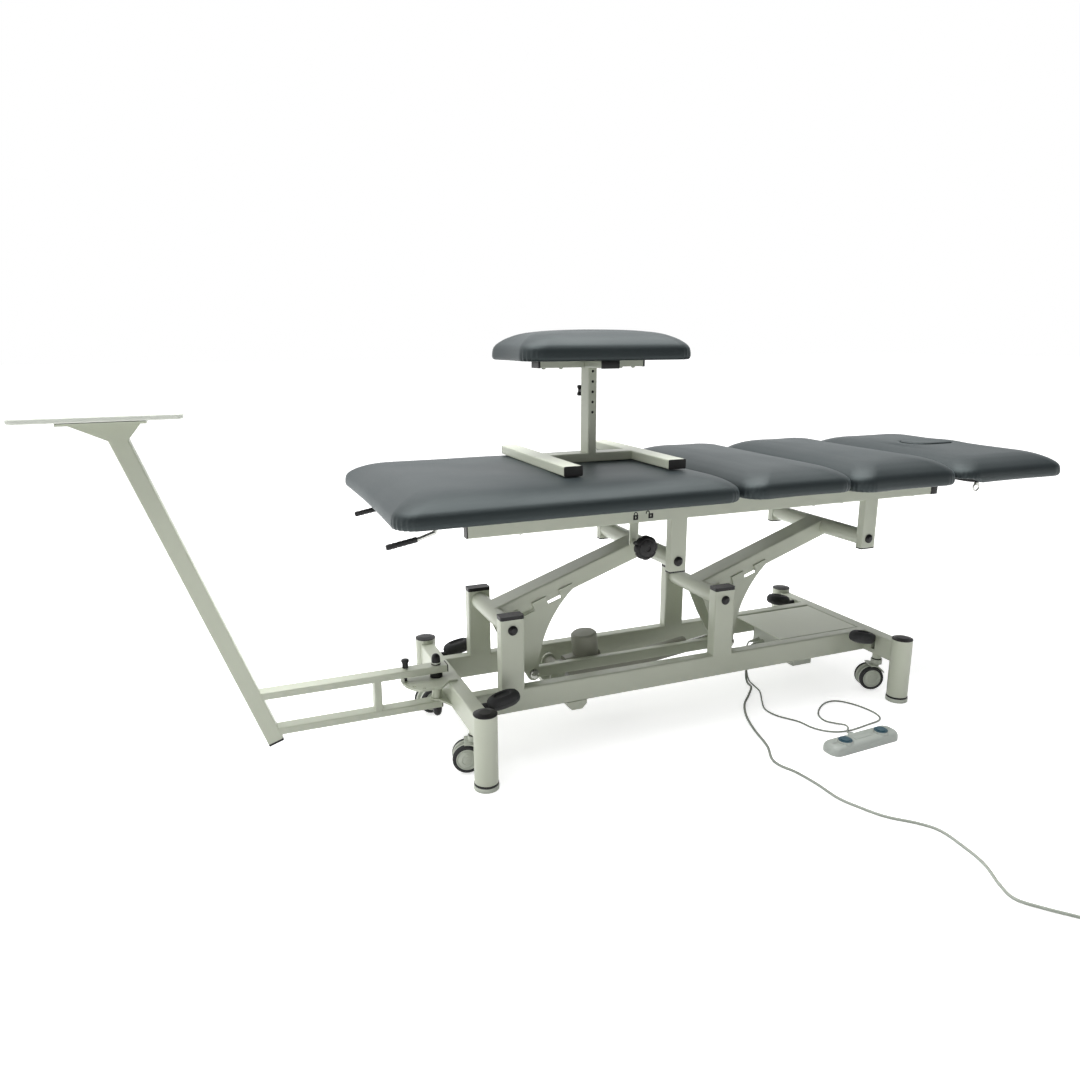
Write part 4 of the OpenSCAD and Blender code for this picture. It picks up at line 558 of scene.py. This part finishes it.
# Board for the traction unit, with its rounded edge
SWIVEL_X = -706.0
LADDER_L = 427.0
POST_RISE = 868.0 - 91.5
POST_LEAN = math.radians(19.3)
BOARD_X = SWIVEL_X - LADDER_L - POST_RISE * math.tan(POST_LEAN) - 29.0
BOARD_L = 333.0
BOARD_W = 190.0
BOARD_R = 14.0
BOARD = [(6, 915.0), (1.5, 915.8), (0, 918.5), (0, 923.5), (1.5, 926.2), (6, 927.0)]
board_inset, board_z = through(BOARD, 5).T
rows = rounded_rows(BOARD_L / 2 - board_inset, BOARD_W / 2 - board_inset, BOARD_R - 0.6 * board_inset,
                    board_z, np.zeros(len(board_z)))[0]
board = put("unit_board", *skin(rows + np.array([BOARD_X, 0.0, 0.0])), LAMINATE, "traction", 50)
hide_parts("platform_board")


def block(size_x, size_y, low, high, corner, edge=1.2):
    """Rings of a block from low to high: rounded rectangles, drawn in by edge at the bottom and the top."""
    inset = edge * np.array([1, 0.3, 0, 0, 0.3, 1])
    z = np.array([low, low + 0.3 * edge, low + edge, high - edge, high - 0.3 * edge, high])
    return rounded_rows(size_x / 2 - inset, size_y / 2 - inset, corner - 0.5 * inset, z, np.zeros(6))[0]


# Pedals: a pebble with a parting groove and a hollow on top, on a flat lever from the lock rod
PEDAL = [(0.3, -14.2), (0.62, -13.6), (0.84, -11.5), (0.95, -7.5), (1.0, -2.5), (1.0, -0.9), (0.98, -0.6),
         (0.98, 0.6), (1.0, 0.9), (1.0, 2.5), (0.96, 7.0), (0.87, 11.0), (0.72, 13.6), (0.6, 14.2),
         (0.5, 13.4), (0.44, 10.5), (0.38, 10.0), (0.02, 10.0)]
PEDAL_HALF_L = 44.0
PEDAL_HALF_W = 26.0
PEDAL_DEEPER = 1.22
PEDAL_REACH = 77.0
PEDAL_Y = 202.0
PEDAL_Z = 186.0
PEDAL_TILT = math.radians(12)
WAIST_X = 30.0
LEVER_L = 64.0
LEVER_W = 12.0
LEVER_Z = (167.0, 179.0)
LEVER_REACH = 30.0
LOCK_ROD = [(0.5, 88), (9.2, 88), (10, 88.8), (10, 177.4), (9.4, 178), (0.5, 178)]
SLEEVE = [(13.6, 99.9), (14.4, 99.9), (14.6, 100.2), (14.6, 103.2), (14.4, 103.5), (13.6, 103.5)]
for key, (cx, cy, _) in WHEELS.items():
    inward = -math.copysign(1, cx)
    pebble = stack_of(superoval(PEDAL_HALF_L, PEDAL_HALF_W, 2.5, 96), PEDAL) * (1.0, 1.0, PEDAL_DEEPER)
    waist = 1 - 0.05 * np.exp(-((pebble[..., 0] - WAIST_X) / 1.6) ** 2)
    pebble[..., 1:] *= waist[..., None]
    tilt = (inward * math.cos(PEDAL_TILT), 0, math.sin(PEDAL_TILT))
    upward = (-inward * math.sin(PEDAL_TILT), 0, math.cos(PEDAL_TILT))
    pebble = place(pebble, (cx + inward * PEDAL_REACH, math.copysign(PEDAL_Y, cy), PEDAL_Z), tilt, upward)
    lever = block(LEVER_L, LEVER_W, *LEVER_Z, 2) + np.array([cx + inward * LEVER_REACH, cy, 0])
    rod = lathe(LOCK_ROD, 40, (cx, cy, 0), UP)
    pedal = put("pedal_" + key, *join([skin(pebble), skin(lever), skin(rod)]), RUBBER,
                "castor_plunger_" + key)
    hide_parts("castor_plunger_" + key)
    sleeve = put("castor_sleeve_" + key, *hoop(SLEEVE, 48, (cx, cy, 0), UP), NYLON, "base")

# Levelling feet: a light puck with a groove, and a black lock ring on it
PUCK = [(0.5, 0.0), (30.4, 0.0), (31.6, 0.6), (31.9, 1.8), (31.9, 4.6), (31.2, 5.0), (31.2, 5.5), (31.9, 5.9),
        (31.9, 10.4), (31.4, 11.6), (30.4, 12.0), (0.5, 12.0)]
LOCK_RING = [(0.5, 12.0), (30.6, 12.0), (31.1, 12.5), (31.1, 16.4), (30.4, 17.0), (0.5, 17.0)]
POSTS = [(-662, -285), (662, -285), (-662, 285), (662, 285)]
pucks = [skin(lathe(PUCK, 96, (x, y, 0), UP)) for x, y in POSTS]
pucks = put("foot_pucks", *join(pucks), GREY_ABS, "base")
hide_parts("levelling_feet")
lock_rings = [skin(lathe(LOCK_RING, 96, (x, y, 0), UP)) for x, y in POSTS]
lock_rings = put("foot_lock_rings", *join(lock_rings), NYLON, "base")

# Swivel's bolt: a shank with a washer, a black cap nut at each end and a light collar under the upper one
CAP_NUT = [(0.5, 0.0), (11.6, 0.0), (12.0, 0.5), (12.0, 8.5), (11.7, 12.5), (10.6, 16.6), (8.4, 20.2),
           (5.2, 22.6), (2.0, 23.4), (0.5, 23.5)]
LOWER_NUT_SCALE = (1.04, 1.27)
WASHER = [(0.5, 226.3), (12.4, 226.3), (12.8, 226.7), (12.8, 228.9), (12.4, 229.3), (0.5, 229.3)]
SHANK = [(0.5, 104), (8, 104), (8, 229), (0.5, 229)]
LIGHT_COLLAR = [(0.5, 229.3), (12.2, 229.3), (12.6, 229.8), (12.6, 232.3), (12.2, 232.8), (0.5, 232.8)]
UPPER_NUT_Z = 232.8
LOWER_NUT_Z = 105.7
upper_nut = lathe(CAP_NUT, 64, (SWIVEL_X, 0, UPPER_NUT_Z), UP)
lower_nut = lathe(np.array(CAP_NUT) * LOWER_NUT_SCALE, 64, (SWIVEL_X, 0, LOWER_NUT_Z), DOWN)
washer = lathe(WASHER, 64, (SWIVEL_X, 0, 0), UP)
shank = lathe(SHANK, 40, (SWIVEL_X, 0, 0), UP)
nuts = put("swivel_cap_nuts", *join([skin(f) for f in (upper_nut, lower_nut, washer, shank)]), NYLON, "base")
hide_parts("swivel_bolt")
collar = put("swivel_collar", *skin(lathe(LIGHT_COLLAR, 64, (SWIVEL_X, 0, 0), UP)), GREY_ABS, "base")

# Index plunger: a pin in a flared pull knob
INDEX_X = -790.0
PULL_KNOB = [(0.5, 191.6), (3.9, 191.6), (3.9, 229.0), (7.0, 229.2), (8.1, 229.2), (8.2, 230.0), (7.9, 238.0),
             (8.2, 243.0), (10.6, 246.5), (10.8, 249.5), (10.2, 252.2), (7.0, 253.6), (0.5, 254.0)]
index_knob = put("index_knob", *skin(lathe(PULL_KNOB, 56, (INDEX_X, 0, 0), UP)), NYLON, "index_plunger")
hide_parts("index_plunger")

# Lock knob: eight round lobes with narrow notches, a dished face and a button in its middle
LOBES = 8
NOTCH = 0.11
KNOB_R = 32.0
KNOB_AT = (-214, -242, 561.668)
SHAFT_AT = (-214, -192, 561.668)
LOBE_KNOB = [(0.02, 0), (0.42, 0), (0.5, 1), (0.62, 5), (0.93, 7), (1.0, 9.5), (1.0, 17), (0.97, 20),
             (0.88, 22.8), (0.8, 23.6), (0.76, 22.8), (0.72, 22.8), (0.66, 24.6), (0.4, 25.8), (0.26, 26),
             (0.24, 23.5), (0.02, 23.3)]
KNOB_SHAFT = [(0.5, 0), (5.5, 0), (5.5, 50), (0.5, 50)]
turn_angle = 2 * np.pi * np.arange(192) / 192
notch = 1 - NOTCH * (1 - np.abs(np.cos(LOBES / 2 * turn_angle)) ** 0.35)
round_knob = KNOB_R * np.stack([np.cos(turn_angle), np.sin(turn_angle)], -1)
share, depth = np.asarray(LOBE_KNOB, float).T
lobed = share[:, None] * np.where(share[:, None] > 0.7, notch[None], 1.0)
lobed = np.concatenate([lobed[..., None] * round_knob[None],
                        np.broadcast_to(depth[:, None, None], lobed.shape + (1,))], -1)
knob_shaft = lathe(KNOB_SHAFT, 32, SHAFT_AT, FRONT)
knob = put("lobed_knob", *join([skin(place(lobed, KNOB_AT, RIGHT, FRONT)), skin(knob_shaft)]), NYLON,
           "lock_knob")
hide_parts("lock_knob")

# Foot switch: a rounded bar with two button collars, a slim raised pad and a cone round the cable
SWITCH = (353.5, -467.0)
SWITCH_TURN = math.radians(3.2)
SWITCH_HALF_L = 120.0
SWITCH_HALF_W = 31.0
SWITCH_R = 24.0
BUTTON_X = 65
BUTTON_Y = -6
SLIM_L = 62
SLIM_W = 13
SLIM_Y = -4
SLIM_Z = (25.0, 26.9)
SWITCH_BAR = [(1.0, 0.0), (0.2, 0.6), (0.0, 2.0), (0.0, 11.0), (0.8, 16.0), (3.2, 20.6), (7.2, 24.2),
              (12.0, 25.8), (18.0, 26.0)]
COLLAR = [(0.5, 20.0), (20.5, 20.0), (20.5, 28.6), (20.0, 30.4), (19.0, 31.0), (18.6, 30.6), (18.4, 26.1),
          (0.5, 26.1)]
CONE = [(0.5, -4), (8.2, -4), (8.2, 2), (7.4, 5), (5.6, 10.5), (4.6, 11), (4.0, 11.2), (0.5, 11.2)]
bar_inset, bar_z = through(SWITCH_BAR, 4).T
switch_along = (math.cos(SWITCH_TURN), math.sin(SWITCH_TURN), 0)
switch_bar = rounded_rows(SWITCH_HALF_L - bar_inset, SWITCH_HALF_W - bar_inset, SWITCH_R - 0.55 * bar_inset,
                          bar_z, np.zeros(len(bar_z)))[0]
forms = [skin(switch_bar)]
forms += [skin(lathe(COLLAR, 72, (x, BUTTON_Y, 0), UP)) for x in (-BUTTON_X, BUTTON_X)]
forms.append(skin(block(SLIM_L, SLIM_W, *SLIM_Z, 3, 0.6) + np.array([0, SLIM_Y, 0])))
forms.append(skin(lathe(CONE, 40, (0, SWITCH_HALF_W, 13), BACK)))
switch_points, switch_faces = join(forms)
foot_switch = put("foot_switch_case", place(switch_points, SWITCH + (0,), switch_along), switch_faces,
                  SWITCH_GREY, "base")
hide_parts("foot_switch")

# Slide carriage: two square tubes in the rails and two across, clear of the leg pad's end
CARRIAGE_Z = (645.1, 669.8)
CARRIAGE_X = -391.5
CARRIAGE_Y = 182.2
CARRIAGE_L = 797
CROSS_L = 340
CROSS_X = (-770, -50)
TUBE_W = 25
tubes = [block(CARRIAGE_L, TUBE_W, *CARRIAGE_Z, 2) + np.array([CARRIAGE_X, y, 0])
         for y in (-CARRIAGE_Y, CARRIAGE_Y)]
tubes += [block(TUBE_W, CROSS_L, *CARRIAGE_Z, 2) + np.array([x, 0, 0]) for x in CROSS_X]
carriage = put("slide_tubes", *join([skin(t) for t in tubes]), POWDER, "leg_section")
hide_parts("slide_carriage")

# D-rings: full wire rings under the head board
RING_X = 835
RING_Y = 330
RING_Z = 656.0
RING_R = 10.5
WIRE_R = 2.4
turn_angle = 2 * np.pi * np.arange(24) / 24
WIRE = np.stack([RING_R + WIRE_R * np.cos(turn_angle), WIRE_R * np.sin(turn_angle)], -1)
for side_name, y in (("front", -RING_Y), ("back", RING_Y)):
    ring = put("tie_ring_" + side_name, *hoop(WIRE, 72, (RING_X, y, RING_Z), BACK), ZINC,
               "d_ring_" + side_name)
    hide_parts("d_ring_" + side_name)

# Boards under the pads, set in far enough to stay out of sight behind the folds
PLY_W = 590
PLY_Z = (TOP_Z + 0.3, TOP_Z + 11.8)
SET_IN = 30
for name, body, node, spans in (("leg_ply", "leg_section", "leg_board", [(-860, 13)]),
                                ("centre_ply", "top", "centre_boards", [(45, 371), (403, 750)])):
    sheets = [block(end - start - 2 * SET_IN, PLY_W, *PLY_Z, 30, 1.0) + np.array([(start + end) / 2, 0, 0])
              for start, end in spans]
    ply = put(name, *join([skin(sheet) for sheet in sheets]), PLY, body)
    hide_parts(node)

# Black sleeves over the right ends of the top rails
RAIL_Y = 207.5
RAIL_Z = 644.2
RAIL_FOOT_Z = 619.4
SLEEVE_H = 50.6
SLEEVE_W = 27.2
SLEEVE_X = (782, 807.6)
sleeves = []
for y in (-RAIL_Y, RAIL_Y):
    upright = block(SLEEVE_H, SLEEVE_W, *SLEEVE_X, 3, 1.0)
    sleeves.append(skin(place(upright, (0, y, RAIL_Z), DOWN, RIGHT)))
end_sleeves = put("rail_end_sleeves", *join(sleeves), NYLON, "top")

# Screws: domed heads under the front rail, and bright domes over the fin bolts' front heads
HEAD = [(0.3, 0.0), (4.6, 0.0), (5.4, 0.6), (5.2, 2.0), (4.0, 3.4), (2.2, 4.2), (0.3, 4.5)]
rail_screws = [skin(lathe(HEAD, 28, (x, -RAIL_Y, RAIL_FOOT_Z), DOWN)) for x in (-537, 355, 455, 722)]
rail_screws = put("rail_screws", *join(rail_screws), ZINC, "top")
DOME = [(0.3, 0.0), (12.2, 0.0), (12.5, 0.5), (12.1, 1.6), (10.2, 3.6), (7.0, 5.0), (3.0, 5.8), (0.3, 6.0)]
BOLT_Y = -47.0
BOLT_Z = 169.974
domes = [skin(lathe(DOME, 56, (x, BOLT_Y, BOLT_Z), FRONT)) for x in (-436.236, 213.764)]
domes = put("fin_bolt_domes", *join(domes), ZINC, "tie_bar")

# Padlock signs by the lock knob: shut on the left, open on the right
SIGN_Y = -220.15
SIGN_T = 0.12
SIGN_HALF_W = 7.2
SIGN_HALF_H = 6.6
SHACKLE_R = 4.5
SHACKLE_LEG = 2.8
SHACKLE_HALF_W = 1.4
SHACKLE_FOOT = 5.8
HOLE_R = 1.5
SLIT_HALF_W = 0.8
SLIT_HALF_H = 2.2


def shackle(x, z):
    """Rings of the shackle's flat wire: up one leg, round a half circle and down the other leg."""
    a = np.pi * np.arange(25) / 24
    line = np.stack([x - SHACKLE_R * np.cos(a), z + SHACKLE_LEG + SHACKLE_R * np.sin(a)], -1)
    line = np.concatenate([[[x - SHACKLE_R, z]], line, [[x + SHACKLE_R, z]]])
    out = np.concatenate([[[-1.0, 0.0]], np.stack([-np.cos(a), np.sin(a)], -1), [[1.0, 0.0]]])
    near = np.stack([line[:, 0], np.full(len(line), SIGN_Y), line[:, 1]], -1)
    across = SHACKLE_HALF_W * np.stack([out[:, 0], np.zeros(len(out)), out[:, 1]], -1)
    back = np.array([0.0, SIGN_T, 0.0])
    return np.stack([near - across, near + across, near + across + back, near - across + back], 1)


signs = []
keyholes = []
for x, z, shift in ((-225.0, 634.2, 0.0), (-181.0, 635.4, -9.0)):
    plate = stack_of(superoval(SIGN_HALF_W, SIGN_HALF_H, 14, 48), [(0.98, 0.0), (1.0, 0.05), (1.0, SIGN_T)])
    signs.append(skin(place(plate, (x, SIGN_Y + SIGN_T, z), RIGHT, FRONT)))
    signs.append(skin(shackle(x + shift, z + SHACKLE_FOOT)))
    hole = stack_of(superoval(HOLE_R, HOLE_R, 2, 24), [(1.0, 0.0), (1.0, 0.16)])
    slit = stack_of(superoval(SLIT_HALF_W, SLIT_HALF_H, 8, 24), [(1.0, 0.0), (1.0, 0.15)])
    keyholes.append(skin(place(hole, (x, SIGN_Y + 0.1, z + 1.1), RIGHT, FRONT)))
    keyholes.append(skin(place(slit, (x, SIGN_Y + 0.1, z - 0.9), RIGHT, FRONT)))
put("padlock_signs", *join(signs), INK, "top")
put("padlock_keyholes", *join(keyholes), POWDER, "top")

# Black caps on the ends of the cross under the stool's pad, and screws in its underside
CROSS_W = 50.0
CAP_W = CROSS_W + 0.8
CAP_T = 6
CAP_Z = (1004.6, 1025.2)
FRONT_CAP_Y = -107.6
SIDE_CAP_X = (-92, -402)
frame_caps = [block(CAP_W, CAP_T, *CAP_Z, 1, 0.8) + np.array([STOOL_X, FRONT_CAP_Y, 0])]
frame_caps += [block(CAP_T, CAP_W, *CAP_Z, 1, 0.8) + np.array([x, STOOL_Y, 0]) for x in SIDE_CAP_X]
frame_caps = put("stool_frame_caps", *join([skin(c) for c in frame_caps]), NYLON, "stool_mast")
cap_screws = [skin(lathe(HEAD, 28, (x, STOOL_Y, 1004.9), DOWN)) for x in (-380, -330, -150, -112)]
put("stool_cap_screws", *join(cap_screws), GREY_ABS, "stool_mast")

# Painted shade: dark discs of black nylon in the mast's holes, for the shade inside the tube
TOP_HOLE_Z = 994.97
HOLE_STEP = 27.3
HOLE_Y = -3.4
HOLE_SHADE = [(0.3, 0), (3.9, 0), (3.9, 0.4), (0.3, 0.4)]
mast_holes = [skin(lathe(HOLE_SHADE, 24, (STOOL_X, HOLE_Y, z), FRONT))
              for z in TOP_HOLE_Z - HOLE_STEP * np.arange(5)]
put("mast_hole_painted_shade", *join(mast_holes), NYLON, "stool")

# Stool's pull handle: an hourglass on a stepped stem
HANDLE_Z = 940
HOURGLASS = [(0.3, -14.5), (4.6, -14.5), (6.4, -13.4), (7.0, -10.8), (6.8, -8.0), (5.2, -4.0), (4.5, 0.0),
             (5.2, 4.0), (6.8, 8.0), (7.0, 10.8), (6.4, 13.4), (4.6, 14.5), (0.3, 14.5)]
STEM = [(0.3, 42.3), (4, 42.3), (4, 45.6), (9.4, 45.6), (10, 46.2), (10, 49), (9.4, 49.6), (6, 50), (5, 72),
        (0.3, 72)]
handle = lathe(through(HOURGLASS, 4) * (1.2, 1.0), 48, (STOOL_X, 76, HANDLE_Z), UP)
stem = lathe(STEM, 40, (STOOL_X, 0, HANDLE_Z), BACK)
pull = put("mast_pull_handle", *join([skin(handle), skin(stem)]), NYLON, "stool_plunger")
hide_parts("stool_plunger")

# Floor: pale paper that the camera and reflections see as white, and that keeps the shadow
FLOOR_HALF = 40
FLOOR_BOUNCE = 0.82
FLOOR_TONE = 0.9
FLOOR_GLOW = 0.6
floor_mesh = bpy.data.meshes.new("studio_floor")
floor_mesh.from_pydata([(x * FLOOR_HALF, y * FLOOR_HALF, 0) for x, y in ((-1, -1), (1, -1), (1, 1), (-1, 1))],
                       [], [(0, 1, 2, 3)])
floor = bpy.data.objects.new("studio_floor", floor_mesh)
bpy.context.scene.collection.objects.link(floor)
material, tree, output, _ = blank("pale_studio_paper")
ray = add(tree, "ShaderNodeLightPath")
seen = add(tree, "ShaderNodeMath", {0: ray.outputs["Is Camera Ray"], 1: ray.outputs["Is Glossy Ray"]},
           operation="MAXIMUM")
seen = add(tree, "ShaderNodeMath", {0: seen.outputs["Value"], 1: ray.outputs["Is Transmission Ray"]},
           operation="MAXIMUM")
tone = add(tree, "ShaderNodeMapRange", {"Value": seen.outputs["Value"], "To Min": FLOOR_BOUNCE,
                                        "To Max": FLOOR_TONE})
glow = add(tree, "ShaderNodeMapRange", {"Value": seen.outputs["Value"], "To Min": 0.0, "To Max": FLOOR_GLOW})
paper = add(tree, "ShaderNodeBsdfDiffuse", {"Color": tone.outputs["Result"]})
lit = add(tree, "ShaderNodeEmission", {"Color": (1, 1, 1, 1), "Strength": glow.outputs["Result"]})
both = add(tree, "ShaderNodeAddShader", {0: paper.outputs["BSDF"], 1: lit.outputs["Emission"]})
tree.links.new(both.outputs["Shader"], output.inputs["Surface"])
floor_mesh.materials.append(material)

# Studio: a lit white wall behind and to the left, a darker room behind the camera, which sees plain white
LIT_WALL = (-0.45, 0.88, 0.12)
LIT_SIDE = 1.25
DARK_SIDE = 0.16
world = bpy.data.worlds.new("studio")
bpy.context.scene.world = world
world.use_nodes = True
tree = world.node_tree
tree.nodes.clear()
output = add(tree, "ShaderNodeOutputWorld")
ray = add(tree, "ShaderNodeLightPath")
seen = add(tree, "ShaderNodeMath", {0: ray.outputs["Is Camera Ray"], 1: ray.outputs["Is Transmission Ray"]},
           operation="MAXIMUM")
toward = add(tree, "ShaderNodeTexCoord")
facing = add(tree, "ShaderNodeVectorMath", {0: toward.outputs["Generated"], 1: LIT_WALL},
             operation="DOT_PRODUCT")
wall = add(tree, "ShaderNodeMapRange", {"Value": facing.outputs["Value"], "From Min": -0.7, "From Max": 0.8,
                                        "To Min": DARK_SIDE, "To Max": LIT_SIDE},
           interpolation_type="SMOOTHSTEP")
level = add(tree, "ShaderNodeMix", {"Factor": seen.outputs["Value"], "A": wall.outputs["Result"], "B": 1.0})
sky = add(tree, "ShaderNodeBackground", {"Color": (1, 1, 1, 1), "Strength": level.outputs["Result"]})
tree.links.new(sky.outputs["Background"], output.inputs["Surface"])


def softbox(name, stand, aim, width, height, watts):
    """A flat lamp of that size in metres at stand, facing aim."""
    lamp = bpy.data.lights.new(name, "AREA")
    lamp.shape = "RECTANGLE"
    lamp.size = width
    lamp.size_y = height
    lamp.energy = watts
    box = bpy.data.objects.new(name, lamp)
    box.location = stand
    box.rotation_euler = (Vector(aim) - Vector(stand)).to_track_quat("-Z", "Y").to_euler()
    bpy.context.scene.collection.objects.link(box)


CEILING_W = 260
LEFT_W = 20
softbox("ceiling_softbox", (0.0, 0.3, 4.2), (0.0, 0.0, 0.0), 5.0, 3.2, CEILING_W)
softbox("left_softbox", (-5.0, -1.5, 2.4), (0.0, 0.0, 0.5), 2.5, 2.5, LEFT_W)

# Camera: its place, turn and lens solved from the photo's perspective
LENS_MM = 27.486
EYE = (-1.03064, -1.96104, 1.08280)
YAW = math.radians(22.216)
PITCH = math.radians(13.787)
ROLL = math.radians(-0.2165)
camera = bpy.data.cameras.new("photo_view")
camera.sensor_width = 36.0
camera.lens = LENS_MM
camera.clip_end = 100.0
eye = bpy.data.objects.new("photo_view", camera)
eye.location = EYE
look = Vector((math.sin(YAW) * math.cos(PITCH), math.cos(YAW) * math.cos(PITCH), -math.sin(PITCH)))
beside = look.cross(Vector(UP)).normalized()
turn = Matrix((beside, beside.cross(look), -look)).transposed().to_4x4() @ Matrix.Rotation(ROLL, 4, "Z")
eye.rotation_euler = turn.to_euler()
bpy.context.scene.collection.objects.link(eye)
bpy.context.scene.camera = eye
bpy.context.scene.view_settings.view_transform = "Standard"
